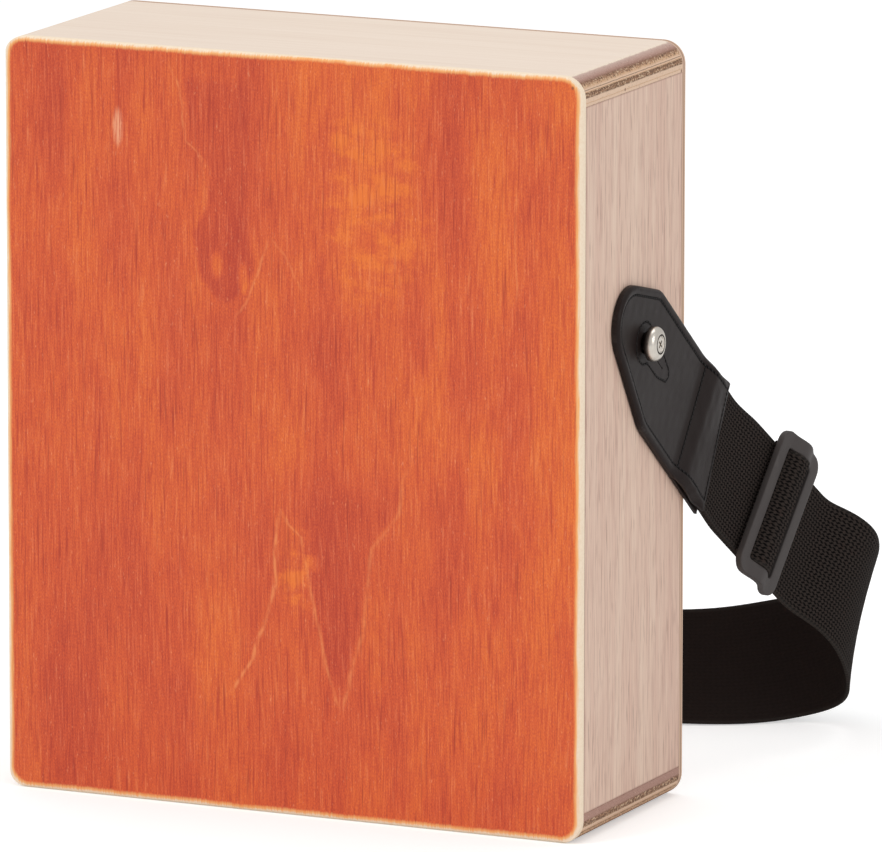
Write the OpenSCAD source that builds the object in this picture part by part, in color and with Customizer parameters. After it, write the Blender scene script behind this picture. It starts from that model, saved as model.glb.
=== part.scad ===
// Small strapped cajon: a plywood box drum with a playing panel at the front,
// snare wires behind it and a webbing strap that hangs on two side buttons.
// X runs across the playing panel, -Y is the front, Z is up, in millimetres.
// The origin is the centre of the underside.

/* [Drum box] */
// Width across the playing panel
body_w = 251; // [200:1:320]
// Depth from the playing panel's face to the back's face
body_d = 100; // [85:1:140]
// Height
body_h = 305; // [270:1:380]
// Radius of the four long corners
corner_r = 9; // [4:0.5:11]
// Thickness of the top, bottom and side panels
panel_t = 12; // [11.5:0.5:18]
// Thickness of the playing panel
tapa_t = 3.5; // [3:0.5:5]
// Radius of the playing panel's sanded front edge
tapa_edge_r = 2; // [0.5:0.5:2.5]
// Thickness of the back panel
back_t = 3; // [3:0.5:6]

/* [Sound hole] */
// Diameter of the sound hole in the back
sound_hole_d = 84; // [50:1:110]
// Height of the sound hole's centre
sound_hole_z = 150; // [110:1:170]

/* [Inside] */
// Side of the square glue blocks in the corners
glue_block = 16; // [10:1:25]
// Clearance from the glue blocks' ends to the front and back panels
glue_block_gap = 0.5; // [0.2:0.1:3]
// Distance from the top panel's underside down to the snare bar
bar_drop = 73; // [70:1:110]
// Height of the snare bar
bar_h = 20; // [16:1:30]
// Depth of the snare bar
bar_d = 16; // [10:1:24]
// Length of the cleats that carry the snare bar
cleat_l = 24; // [12:1:40]
// Thickness of the cleats
cleat_t = 12; // [8:1:20]

/* [Snare wires] */
// Wires in each of the two sets
wire_count = 10; // [4:1:14]
// Outer diameter of a wire's coil
wire_d = 1.8; // [1:0.1:2.4]
// Distance between wires
wire_pitch = 3.4; // [2.6:0.1:5]
// Length of the wires
wire_l = 72; // [40:1:74]
// Distance from the drum's middle to the middle of a set
wire_set_x = 46; // [35:1:70]
// Running gap between the wires and the playing panel
wire_gap = 0.3; // [0.1:0.1:1]
// Thickness of the clip plates
clip_t = 0.8; // [0.5:0.1:1.5]
// Height of the clip plates
clip_h = 13; // [12:1:16]
// How far the wires lie on a clip plate
clip_lap = 4; // [2:0.5:5]
// Diameter of the clip screws' heads
clip_screw_head_d = 5; // [3:0.5:6]
// Diameter of the clip screws' shanks
clip_screw_d = 2.5; // [2:0.1:3]
// Length of the clip screws' shanks behind the plate
clip_screw_l = 9; // [6:0.5:9.5]

/* [Strap buttons] */
// Height of the buttons
button_z = 191.5; // [175:0.5:215]
// Distance of the buttons behind the middle of the depth
button_y = 5; // [-5:0.5:8]
// Diameter of a button's head
button_head_d = 14; // [12:0.5:18]
// Diameter of a button's neck
button_neck_d = 8; // [7:0.5:9]
// Height of the neck, from the side panel to the head
button_neck_h = 5.2; // [4:0.1:7]
// Height of the head
button_head_h = 4.5; // [4:0.5:7]
// Diameter of the screw in a button
button_screw_d = 4; // [3:0.5:4.5]
// How far the screw reaches into the side panel
button_screw_depth = 10; // [6:0.5:10.5]
// Diameter of the screw's head
button_screw_head_d = 6; // [5:0.5:7]
// Radial clearance between the screw and what it passes through
screw_clearance = 0.05; // [0.02:0.01:0.1]

/* [Leather tabs] */
// Slope of the tabs, below horizontal towards the back
tab_slope = 38; // [34:1:42]
// Width of a tab
tab_w = 53; // [52:0.5:58]
// How far the tab's middle line lies below the button's axis
tab_drop = 2; // [0:0.5:4]
// Length from the button to the middle of a tab's end
tab_l = 84; // [78:1:100]
// Distance from the button's axis back to the tip
tab_tip = 30; // [26:0.5:34]
// Radius of the tip
tab_tip_r = 16; // [12:0.5:18]
// Radius of the upper shoulder
upper_shoulder_r = 12.5; // [8:0.5:16]
// Distance from the button's axis to the upper shoulder's centre
upper_shoulder = 4; // [0:0.5:12]
// Radius of the lower shoulder
lower_shoulder_r = 20; // [12:0.5:22]
// Distance from the button's axis to the lower shoulder's centre
lower_shoulder = 23; // [15:0.5:28]
// Slant of the tab's end: how much longer the lower edge is, over the width
tab_slant = 9; // [0:0.5:12]
// How far the inner layer reaches past the outer one at the lower edge
inner_reach = 3; // [0:0.5:4]
// Thickness of one layer of leather
leather_t = 1.25; // [1:0.05:1.6]
// Clearance between the leather and the side panel
tab_gap = 0.4; // [0.3:0.1:1]
// Distance from the button's axis to the seam that closes the sleeve
tab_seam = 58.5; // [54:0.5:64]
// Length of the rise from the seam to the sleeve's full height
sleeve_rise = 6; // [4:0.5:8]
// Length of the slit behind the button hole
slit_l = 21; // [10:0.5:30]
// Width of the slit
slit_w = 1.2; // [0.8:0.1:3]
// Diameter of the round end of the slit
slit_end_d = 4; // [2.5:0.5:6]
// Radial clearance between the button hole and the neck
button_hole_gap = 0.4; // [0.3:0.05:1]

/* [Strap] */
// Width of the webbing
strap_w = 50; // [45:1:50]
// Thickness of the webbing
strap_t = 1.5; // [1.2:0.1:1.8]
// Clearance between layers
layer_gap = 0.05; // [0.05:0.05:0.2]
// How far the strap flares out from the side, in degrees
strap_flare = 7.5; // [4:0.5:10]
// How far the straight run turns about its own line, its upper edge outwards, in degrees
strap_twist = 5; // [0:0.5:6]
// Distance behind the tab's end at which the strap starts to flare
flare_lead = 6; // [6:0.5:12]
// Length of the straight run that the slider moves on
run_l = 75; // [75:1:85]

/* [Slider] */
// Length of the slider along the strap
slider_l = 31.5; // [28:0.5:32]
// Width of the slider across the strap
slider_w = 63.5; // [58:0.5:65]
// Width of the slider's two outer bars
slider_bar = 6; // [4:0.5:6.5]
// Width of the slider's centre bar
centre_bar_w = 4; // [2.5:0.5:4.5]
// Thickness of the slider's outer bars
slider_t = 3; // [2:0.1:4]
// Radius of the slider's corners
slider_corner_r = 6; // [1:0.5:6]
// How far the slider's ends arch out between the outer bars
rail_rise = 3; // [1.5:0.5:4]
// Thickness of the centre bar
centre_bar_t = 2.4; // [1.6:0.1:3]
// Distance from the start of the straight run to the slider's middle
slider_at = 45; // [43:0.5:46]
// Clearance between the slider and the webbing
slider_gap = 0.3; // [0.3:0.05:0.6]
// Height that the webbing rises over the centre bar
fold_rise = 6.4; // [5:0.1:7]
// Distance over which the webbing rises to that height
fold_ramp = 7.5; // [6:0.5:8]
// Clearance between the rising webbing and the outer bars
fold_inset = 0.5; // [0.4:0.1:1.5]

/* [Hidden] */
$fn = 96;

// Planes that pieces share
tapa_back = -body_d / 2 + tapa_t;
back_front = body_d / 2 - back_t;
inner_w = body_w - 2 * panel_t;
bar_z = body_h - panel_t - bar_drop - bar_h;
wire_y = tapa_back + wire_gap + wire_d / 2;
clip_front = tapa_back + wire_gap + wire_d + layer_gap;
bar_front = clip_front + clip_t;
clip_z = bar_z + bar_h - clip_h;
wire_z = clip_z + clip_h - clip_lap;
clip_w = (wire_count - 1) * wire_pitch + 2 * wire_d;

// Heights above the side panel of the layers in a tab's sleeve
inner_top = tab_gap + leather_t;
return_mid = inner_top + layer_gap + strap_t / 2;
strap_mid = return_mid + strap_t + layer_gap;
sleeve_under = strap_mid + strap_t / 2 + layer_gap;

button_hole_r = button_neck_d / 2 + button_hole_gap;
screw_bore_r = button_screw_d / 2 + screw_clearance;
clip_screw_bore_r = clip_screw_d / 2 + screw_clearance;

// Where the webbing starts in the sleeve and where it leaves the tab, from the button's axis
start_count = 5;
strap_start = tab_seam + sleeve_rise + 1;
run_start = tab_l + tab_slant / 2 + flare_lead;
start_step = (run_start - strap_start) / (start_count - 0.5);

// Bends of the strap's right half behind the straight run. Each row holds the distance out from
// the side panel, the distance behind the back, the height, and the webbing's tilt and lean.
strap_bends = [
    [32, 108, 69, 12, 24],
    [14, 153, 33, 0, 18],
    [-18, 153, 24, 0, 20],
    [-46, 121, 21, 0, 38]
];
// Distances along the straight run of the points that keep it straight
run_stops = [4, 12, 20, 30, 42, run_l - 12, run_l, run_l + 10];
// Share of the run's turn that each of those points has
run_turns = [0.3, 1, 1, 1, 1, 1, 1, 1];
// Stops that the second layer passes: up to the slider on the right, into the sleeve on the left
return_stops = 7;
sewn_stops = 1;
ring_steps = 4;
// How far the fold's ends stop short of the slider's edges
fold_lip = 1;

wood_top = [0.94, 0.88, 0.83];
wood_side = [0.83, 0.71, 0.62];
wood_inside = [0.80, 0.68, 0.54];
stain = [0.85, 0.41, 0.27];
leather = [0.22, 0.21, 0.20];
webbing = [0.08, 0.07, 0.06];
steel = [0.72, 0.72, 0.74];
slider_grey = [0.27, 0.25, 0.24];

// ---------- shared shapes ----------

// Extrudes an outline drawn in X and Z from y0 to y1
module along_y(y0, y1) {
    translate([0, y1, 0]) rotate([90, 0, 0]) linear_extrude(y1 - y0) children();
}

// Rectangle with round corners, centred in X and standing on Y = 0
module round_rect(w, h, r) {
    translate([-w / 2 + r, 0]) square([w - 2 * r, h]);
    translate([-w / 2, r]) square([w, h - 2 * r]);
    for (x = [-w / 2 + r, w / 2 - r], y = [r, h - r]) translate([x, y]) circle(r);
}

module box_outline() {
    round_rect(body_w, body_h, corner_r);
}

// Places a shape on the side panel at the button, with Z pointing out
module on_button(side) {
    mirror([side < 0 ? 1 : 0, 0, 0])
        translate([body_w / 2, button_y, button_z]) rotate([0, 90, 0]) children();
}

// Places a shape on the tab: X runs along it, Y across it and Z out from the side panel
module on_tab(side) {
    mirror([side < 0 ? 1 : 0, 0, 0])
        translate([body_w / 2, button_y, button_z])
            rotate([-tab_slope, 0, 0]) rotate([90, 0, 90]) children();
}

// Places a shape on the straight run of the right half, at the slider
module on_slider() {
    turn = atan(tan(strap_twist) * cos(strap_flare));
    on_tab(1) translate([run_start, -tab_drop, strap_mid]) rotate([0, -strap_flare, 0])
        rotate([turn, 0, 0]) translate([slider_at, 0, 0]) children();
}

// ---------- the strap's path ----------

along_tab = [0, cos(tab_slope), -sin(tab_slope)];
across_tab = [0, sin(tab_slope), cos(tab_slope)];
along_run = [sin(strap_flare), cos(strap_flare) * along_tab[1], cos(strap_flare) * along_tab[2]];

function flip(p) = [-p[0], p[1], p[2]];
function reversed(list) = [for (i = [len(list) - 1:-1:0]) list[i]];
function with_mirror(list) = concat(list, [for (p = reversed(list)) flip(p)]);

// Point on the strap's middle, a distance from the button along the tab
function tab_point(a) =
    [body_w / 2 + strap_mid, button_y, button_z] + along_tab * a - across_tab * tab_drop;
function run_point(s) = tab_point(run_start) + along_run * s;
function bend_point(b) = [body_w / 2 + b[0], body_d / 2 + b[1], b[2]];
function width_way(tilt, lean) = [sin(tilt), cos(tilt) * sin(lean), cos(tilt) * cos(lean)];

start_points = [for (i = [-1:start_count - 1]) tab_point(strap_start + i * start_step)];
run_points = [for (s = run_stops) run_point(s)];
held_points = concat(start_points, run_points);
half_points = concat(held_points, [for (b = strap_bends) bend_point(b)]);
half_ways = concat(
    [for (p = start_points) width_way(0, tab_slope)],
    [for (k = run_turns) width_way(k * strap_twist, tab_slope)],
    [for (b = strap_bends) width_way(b[3], b[4])]);

function spline(p, i, t) =
    ((1 - t)^3 * p[i] + (3 * t^3 - 6 * t^2 + 4) * p[i + 1]
    + (-3 * t^3 + 3 * t^2 + 3 * t + 1) * p[i + 2] + t^3 * p[i + 3]) / 6;
function spline_slope(p, i, t) =
    (-(1 - t)^2 * p[i] + (3 * t^2 - 4 * t) * p[i + 1]
    + (-3 * t^2 + 2 * t + 1) * p[i + 2] + t^2 * p[i + 3]) / 2;
function unit(v) = v / norm(v);

// Four corners of the webbing's section at one place, shifted out by a distance
function ring(points, ways, i, t, shift) =
    let (
        middle = spline(points, i, t),
        along = unit(spline_slope(points, i, t)),
        way = spline(ways, i, t),
        across = unit(way - (way * along) * along),
        out = cross(along, across)
    )
    [for (c = [[1, 1], [-1, 1], [-1, -1], [1, -1]])
        middle + across * c[0] * strap_w / 2 + out * (c[1] * strap_t / 2 + shift)];

// Webbing along a list of spline points
module ribbon(points, ways, shift) {
    spans = len(points) - 3;
    rings = concat(
        [for (i = [0:spans - 1], k = [0:ring_steps - 1]) ring(points, ways, i, k / ring_steps, shift)],
        [ring(points, ways, spans - 1, 1, shift)]);
    last = 4 * (len(rings) - 1);
    sides = [for (i = [0:len(rings) - 2], j = [0:3])
        let (a = 4 * i + j, b = 4 * i + (j + 1) % 4)
        each [[a, a + 4, b + 4], [a, b + 4, b]]];
    ends = [[0, 1, 2], [0, 2, 3], [last + 3, last + 2, last + 1], [last + 3, last + 1, last]];
    polyhedron([for (r = rings) each r], concat(sides, ends));
}

// ---------- drum box ----------

module tapa() {
    r = tapa_edge_r;
    color(stain)
        intersection() {
            along_y(-body_d / 2, tapa_back) box_outline();
            linear_extrude(body_h) front_rounded(body_w, r);
            translate([-body_w / 2, 0, body_h / 2]) rotate([0, 90, 0])
                linear_extrude(body_w) front_rounded(body_h, r);
        }
}

// Section of the playing panel with its two front edges rounded
module front_rounded(w, r) {
    front = -body_d / 2;
    translate([-w / 2, front + r]) square([w, tapa_t - r]);
    translate([-w / 2 + r, front]) square([w - 2 * r, tapa_t]);
    for (x = [-w / 2 + r, w / 2 - r]) translate([x, front + r]) circle(r);
}

// Panel that runs the full width, with its corners rounded
module end_panel(z) {
    along_y(tapa_back, back_front)
        intersection() {
            box_outline();
            translate([-body_w / 2, z]) square([body_w, panel_t]);
        }
}

module top_panel() {
    color(wood_top) end_panel(body_h - panel_t);
}

module bottom_panel() {
    color(wood_top) end_panel(0);
}

module side_panel(side) {
    color(wood_side)
        difference() {
            mirror([side < 0 ? 1 : 0, 0, 0])
                translate([inner_w / 2, tapa_back, panel_t])
                    cube([panel_t, back_front - tapa_back, body_h - 2 * panel_t]);
            on_button(side) translate([0, 0, -button_screw_depth])
                cylinder(r = screw_bore_r, h = button_screw_depth + 1);
        }
}

module back_panel() {
    color(wood_side)
        along_y(back_front, body_d / 2)
            difference() {
                box_outline();
                translate([0, sound_hole_z]) circle(d = sound_hole_d);
            }
}

// ---------- inside ----------

module glue_blocks(z) {
    color(wood_inside)
        for (side = [-1, 1])
            translate([side > 0 ? inner_w / 2 - glue_block : -inner_w / 2,
                       tapa_back + glue_block_gap, z])
                cube([glue_block, back_front - tapa_back - 2 * glue_block_gap, glue_block]);
}

module snare_bar() {
    color(wood_inside)
        difference() {
            translate([-inner_w / 2, bar_front, bar_z]) cube([inner_w, bar_d, bar_h]);
            clip_screw_places() translate([0, 0, -clip_screw_l])
                cylinder(r = clip_screw_bore_r, h = clip_screw_l + 1);
        }
}

module bar_cleat(side) {
    color(wood_inside)
        mirror([side < 0 ? 1 : 0, 0, 0])
            translate([inner_w / 2 - cleat_l, bar_front + bar_d, bar_z])
                cube([cleat_l, cleat_t, bar_h]);
}

module snare_wires(side) {
    color(steel)
        for (i = [0:wire_count - 1])
            translate([side * wire_set_x + (i - (wire_count - 1) / 2) * wire_pitch, wire_y, wire_z])
                cylinder(d = wire_d, h = wire_l, $fn = 24);
}

// Clip plate on the bar and its twin at the wires' free end
module snare_clips(side) {
    color(steel)
        difference() {
            for (z = [clip_z, wire_z + wire_l - clip_lap])
                translate([side * wire_set_x - clip_w / 2, clip_front, z])
                    cube([clip_w, clip_t, z == clip_z ? clip_h : clip_lap]);
            clip_screw_places() translate([0, 0, -clip_t - 1])
                cylinder(r = clip_screw_bore_r, h = clip_t + 2);
        }
}

// The four screws' places, with Z pointing out of the plate's front and Z = 0 on the bar's face
module clip_screw_places() {
    for (side = [-1, 1], end = [-1, 1])
        translate([side * wire_set_x + end * (clip_w / 2 - clip_screw_head_d),
                   bar_front, clip_z + (clip_h - clip_lap) / 2])
            rotate([90, 0, 0]) children();
}

module snare_screws() {
    head_h = (wire_gap + wire_d) / 2;
    color(steel)
        clip_screw_places() {
            translate([0, 0, -clip_screw_l]) cylinder(d = clip_screw_d, h = clip_screw_l + clip_t);
            translate([0, 0, clip_t]) cylinder(d = clip_screw_head_d, h = head_h);
        }
}

// ---------- strap buttons ----------

module strap_button(side) {
    rim_h = button_head_h * 0.4;
    recess_r = button_screw_head_d / 2 + 2 * screw_clearance;
    recess_h = button_head_h * 0.5;
    top = button_neck_h + button_head_h;
    color(steel)
        on_button(side)
            rotate_extrude()
                polygon([
                    [screw_bore_r, 0],
                    [button_neck_d / 2, 0],
                    [button_neck_d / 2, button_neck_h],
                    [button_head_d / 2 - 0.5, button_neck_h],
                    [button_head_d / 2, button_neck_h + 0.5],
                    [button_head_d / 2, button_neck_h + rim_h],
                    for (a = [15:15:75]) dome_point(a, recess_r, rim_h),
                    [recess_r, top],
                    [recess_r, top - recess_h],
                    [screw_bore_r, top - recess_h]
                ]);
}

// Point on the head's dome, from its rim at 0 degrees to its recess at 90
function dome_point(a, recess_r, rim_h) = [
    recess_r + (button_head_d / 2 - recess_r) * cos(a),
    button_neck_h + rim_h + (button_head_h - rim_h) * sin(a)];

module button_screw(side) {
    seat = button_neck_h + button_head_h * 0.5;
    head_h = button_head_h * 0.45;
    cross_l = button_screw_head_d * 0.6;
    cross_w = button_screw_head_d * 0.13;
    color(steel)
        on_button(side)
            difference() {
                union() {
                    translate([0, 0, -button_screw_depth])
                        cylinder(d = button_screw_d, h = seat + button_screw_depth);
                    translate([0, 0, seat]) cylinder(d = button_screw_head_d, h = head_h);
                }
                for (turn = [45, 135])
                    translate([0, 0, seat + head_h]) rotate(turn)
                        cube([cross_l, cross_w, head_h], center = true);
            }
}

// ---------- leather tabs ----------

// Outline of a tab: X is the distance from the button's axis, Y is across. The tip and the two
// shoulders are circles, and straight flanks run between them.
module tab_outline(extra) {
    top = tab_w / 2 - tab_drop;
    bottom = -tab_w / 2 - tab_drop;
    tip = [tab_tip_r - tab_tip, 0];
    upper = [upper_shoulder, top - upper_shoulder_r];
    lower = [lower_shoulder, bottom + lower_shoulder_r];
    up = flank_way(tip, tab_tip_r, upper, upper_shoulder_r, 1);
    down = flank_way(tip, tab_tip_r, lower, lower_shoulder_r, -1);
    translate(tip) circle(tab_tip_r);
    translate(upper) circle(upper_shoulder_r);
    translate(lower) circle(lower_shoulder_r);
    polygon([
        tip + tab_tip_r * down,
        lower + lower_shoulder_r * down,
        [lower[0], bottom],
        [tab_l + tab_slant / 2 + extra, bottom],
        [tab_l - tab_slant / 2, top],
        [upper[0], top],
        upper + upper_shoulder_r * up,
        tip + tab_tip_r * up
    ]);
}

// Direction square to the line that touches two circles on one side
function flank_way(from, from_r, to, to_r, side) =
    let (
        way = unit(to - from),
        part = (from_r - to_r) / norm(to - from),
        square_way = side * [-way[1], way[0]]
    )
    way * part + square_way * sqrt(1 - part * part);

module keyhole() {
    circle(button_hole_r);
    translate([0, -slit_w / 2]) square([slit_l, slit_w]);
    translate([slit_l, 0]) circle(d = slit_end_d);
}

module tab_inner(side) {
    color(leather)
        on_tab(side) translate([0, 0, tab_gap])
            linear_extrude(leather_t)
                difference() {
                    tab_outline(inner_reach);
                    keyhole();
                }
}

// Outer layer: flat on the inner one up to the seam, then raised over the webbing
module tab_outer(side) {
    reach = tab_l + tab_slant;
    color(leather)
        on_tab(side)
            intersection() {
                linear_extrude(sleeve_under + leather_t)
                    difference() {
                        tab_outline(0);
                        keyhole();
                    }
                rotate([90, 0, 0])
                    linear_extrude(tab_w + 2, center = true)
                        polygon([
                            [-tab_tip - 1, inner_top],
                            [tab_seam, inner_top],
                            [tab_seam + sleeve_rise, sleeve_under],
                            [reach, sleeve_under],
                            [reach, sleeve_under + leather_t],
                            [tab_seam + sleeve_rise, sleeve_under + leather_t],
                            [tab_seam, inner_top + leather_t],
                            [-tab_tip - 1, inner_top + leather_t]
                        ]);
            }
}

// ---------- webbing ----------

module strap_webbing() {
    color(webbing) ribbon(with_mirror(half_points), with_mirror(half_ways), 0);
}

// Second layer that runs from the slider back into the sleeve, on the side towards the drum
module strap_return(side) {
    held = len(start_points) + (side > 0 ? return_stops : sewn_stops);
    layer_points = [for (i = [0:held - 1]) half_points[i]];
    layer_ways = [for (i = [0:held - 1]) half_ways[i]];
    color(webbing)
        mirror([side < 0 ? 1 : 0, 0, 0])
            ribbon(layer_points, layer_ways, -strap_t - layer_gap);
}

// ---------- slider ----------

fold_under = strap_t / 2 + slider_gap;
bar_under = fold_under + strap_t + layer_gap;
slider_top = bar_under + slider_t;
fold_half = slider_l / 2 - fold_lip;
// The fold is flat from here to its ends, which lie under the outer bars
fold_crest = slider_l / 2 - slider_bar - fold_inset;

module slider_frame() {
    window_w = strap_w + 2 * slider_gap;
    window_l = slider_l - 2 * slider_bar;
    rail_w = (slider_w - window_w) / 2;
    centre_top = fold_under + fold_height(centre_bar_w / 2) - 2 * layer_gap;
    centre_under = centre_top - centre_bar_t;
    places = [for (s = [-1:0.125:1]) s * window_l / 2];
    color(slider_grey)
        on_slider() {
            translate([0, 0, bar_under]) linear_extrude(slider_t)
                difference() {
                    translate([0, -slider_w / 2]) round_rect(slider_l, slider_w, slider_corner_r);
                    square([window_l, slider_w + 2], center = true);
                }
            for (y = [-window_w / 2 - rail_w, window_w / 2]) {
                translate([0, y + rail_w, 0]) rotate([90, 0, 0]) linear_extrude(rail_w)
                    polygon(concat(
                        [for (s = places) [s, bar_under + rail_height(s)]],
                        [for (s = reversed(places)) [s, slider_top + rail_height(s)]]));
                translate([-centre_bar_w / 2, y, centre_under])
                    cube([centre_bar_w, rail_w, slider_top + rail_rise / 2 - centre_under]);
            }
            translate([-centre_bar_w / 2, -slider_w / 2, centre_under])
                cube([centre_bar_w, slider_w, centre_bar_t]);
        }
}

// How far the slider's ends have arched out, at a distance from the slider's middle
function rail_height(s) = rail_rise * (1 + cos(360 * s / (slider_l - 2 * slider_bar))) / 2;

// Webbing that dips under the outer bars and rises over the centre bar
module slider_fold() {
    places = [for (s = [-1:0.0625:1]) s * fold_half];
    under = [for (s = places) [s, fold_under + fold_height(s)]];
    over = [for (s = reversed(places)) [s, fold_under + strap_t + fold_height(s)]];
    color(webbing)
        on_slider()
            rotate([90, 0, 0])
                linear_extrude(strap_w, center = true)
                    polygon(concat(under, over));
}

// Height of the fold above its ends, at a distance from the slider's middle
function fold_height(s) =
    fold_rise * (1 - cos(180 * min(max((fold_crest - abs(s)) / fold_ramp, 0), 1))) / 2;

tapa();
top_panel();
bottom_panel();
side_panel(1);  // side_panel_right
side_panel(-1);  // side_panel_left
back_panel();
glue_blocks(body_h - panel_t - glue_block);  // glue_blocks_top
glue_blocks(panel_t);  // glue_blocks_bottom
snare_bar();
bar_cleat(1);  // bar_cleat_right
bar_cleat(-1);  // bar_cleat_left
snare_wires(1);  // snare_wires_right
snare_wires(-1);  // snare_wires_left
snare_clips(1);  // snare_clips_right
snare_clips(-1);  // snare_clips_left
snare_screws();
strap_button(1);  // strap_button_right
strap_button(-1);  // strap_button_left
button_screw(1);  // button_screw_right
button_screw(-1);  // button_screw_left
tab_inner(1);  // tab_inner_right
tab_outer(1);  // tab_outer_right
tab_inner(-1);  // tab_inner_left
tab_outer(-1);  // tab_outer_left
strap_webbing();
strap_return(1);  // strap_return_right
strap_return(-1);  // strap_return_left
slider_frame();
slider_fold();
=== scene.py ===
"""Dresses a small strapped box drum: stained playing panel, plywood box, leather tabs, webbing and slider."""

import logging
import math
from dataclasses import dataclass, field
from enum import Enum
from typing import Iterable, Sequence, Union

import bmesh
import bpy
import numpy as np
from mathutils import Matrix, Vector


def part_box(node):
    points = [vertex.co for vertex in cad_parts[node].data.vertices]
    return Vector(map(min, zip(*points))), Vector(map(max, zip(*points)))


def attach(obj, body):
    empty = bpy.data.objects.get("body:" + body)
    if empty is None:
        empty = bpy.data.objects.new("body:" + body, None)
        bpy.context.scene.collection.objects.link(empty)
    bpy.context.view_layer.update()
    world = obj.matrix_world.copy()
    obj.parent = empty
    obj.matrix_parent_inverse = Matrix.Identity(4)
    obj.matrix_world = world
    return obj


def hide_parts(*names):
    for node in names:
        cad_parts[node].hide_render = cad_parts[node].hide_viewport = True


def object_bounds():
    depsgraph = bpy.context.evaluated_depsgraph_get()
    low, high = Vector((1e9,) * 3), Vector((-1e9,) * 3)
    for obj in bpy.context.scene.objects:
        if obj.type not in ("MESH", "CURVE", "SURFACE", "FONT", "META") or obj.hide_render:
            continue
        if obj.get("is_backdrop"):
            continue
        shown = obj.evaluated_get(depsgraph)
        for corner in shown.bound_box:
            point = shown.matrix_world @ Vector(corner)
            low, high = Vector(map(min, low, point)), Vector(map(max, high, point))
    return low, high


LOG = logging.getLogger("box_drum")
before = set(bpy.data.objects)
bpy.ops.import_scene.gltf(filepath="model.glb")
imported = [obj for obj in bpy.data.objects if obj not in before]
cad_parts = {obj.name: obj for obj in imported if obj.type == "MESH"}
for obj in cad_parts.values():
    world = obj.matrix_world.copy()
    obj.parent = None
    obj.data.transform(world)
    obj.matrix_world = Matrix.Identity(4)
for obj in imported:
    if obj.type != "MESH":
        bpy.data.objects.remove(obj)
CAD_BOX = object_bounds()

MM = 0.001
BODY_W = 251 * MM
BODY_D = 100 * MM
BODY_H = 305 * MM
CORNER_R = 9 * MM
PANEL_T = 12 * MM
TAPA_T = 3.5 * MM
BACK_T = 3 * MM
BUTTON = Vector((BODY_W / 2, 5 * MM, 191.5 * MM))
TAB_SLOPE = math.radians(38)
STRAP_FLARE = math.radians(7.5)
STRAP_TWIST = math.radians(5)
STRAP_MID = 4.0 * MM
STRAP_W = 50 * MM
STRAP_T = 1.5 * MM
LAYER_GAP = 0.05 * MM

# The webbing's map, how far it is shifted on inner faces, and the leather's mark of nearness to a seam.
WEAVE_UV = "weave"
INNER_FACE = 1.0
SEAM_MARK = "seam"

Value = Union["Signal", float, Sequence[float]]
Colour = tuple[float, float, float]
Stops = Sequence[tuple[float, Colour]]
Line = Sequence[tuple[float, float]]
Place = tuple[Vector, Vector, Vector, float]


class Body(Enum):
    """The rigid bodies that pieces ride on."""

    DRUM = "drum"
    STRAP = "strap"
    SLIDER = "slider"


class Side(Enum):
    """The two ends of the strap."""

    RIGHT = 1
    LEFT = -1

    @property
    def word(self) -> str:
        """The side's name in lower case."""
        return self.name.lower()


# ---------------------------------------------------------------- shader arithmetic


class Signal:
    """A shader socket that takes part in Python arithmetic on values."""

    def __init__(self, bench: "Bench", socket: bpy.types.NodeSocket) -> None:
        """Keeps the socket and the bench that it belongs to."""
        self.bench = bench
        self.socket = socket

    def math(self, operation: str, other: Value = 0.0, swap: bool = False, clamp: bool = False) -> "Signal":
        """Adds a Math node.

        Args:
            operation: the node's operation.
            other: the second operand.
            swap: whether the operands change places.
            clamp: whether the result is held between 0 and 1.

        Returns:
            The node's result.
        """
        first, second = (other, self) if swap else (self, other)
        return self.bench.node(
            "ShaderNodeMath", {"operation": operation, "use_clamp": clamp}, {0: first, 1: second}
        )

    def __add__(self, other: Value) -> "Signal":
        """Sum."""
        return self.math("ADD", other)

    def __radd__(self, other: Value) -> "Signal":
        """Reflected sum."""
        return self.math("ADD", other, swap=True)

    def __sub__(self, other: Value) -> "Signal":
        """Difference."""
        return self.math("SUBTRACT", other)

    def __rsub__(self, other: Value) -> "Signal":
        """Reflected difference."""
        return self.math("SUBTRACT", other, swap=True)

    def __mul__(self, other: Value) -> "Signal":
        """Product."""
        return self.math("MULTIPLY", other)

    def __rmul__(self, other: Value) -> "Signal":
        """Reflected product."""
        return self.math("MULTIPLY", other, swap=True)

    def __truediv__(self, other: Value) -> "Signal":
        """Quotient."""
        return self.math("DIVIDE", other)

    def __rtruediv__(self, other: Value) -> "Signal":
        """Reflected quotient."""
        return self.math("DIVIDE", other, swap=True)

    def __pow__(self, other: Value) -> "Signal":
        """Power."""
        return self.math("POWER", other)

    def __mod__(self, other: Value) -> "Signal":
        """Remainder that is never negative."""
        return self.math("FLOORED_MODULO", other)

    def __abs__(self) -> "Signal":
        """Absolute value."""
        return self.math("ABSOLUTE")

    def clamp(self) -> "Signal":
        """The value held between 0 and 1."""
        return self.math("ADD", 0.0, clamp=True)

    def least(self, other: Value) -> "Signal":
        """The smaller of two values."""
        return self.math("MINIMUM", other)

    def most(self, other: Value) -> "Signal":
        """The larger of two values."""
        return self.math("MAXIMUM", other)

    def rise(self, low: float, high: float) -> "Signal":
        """Runs smoothly from 0 at low to 1 at high, which may be the smaller number.

        Args:
            low: the value that gives 0.
            high: the value that gives 1.

        Returns:
            The eased share.
        """
        return self.bench.node(
            "ShaderNodeMapRange",
            {"interpolation_type": "SMOOTHSTEP", "clamp": True},
            {0: self, 1: low, 2: high, 3: 0.0, 4: 1.0},
        )


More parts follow.
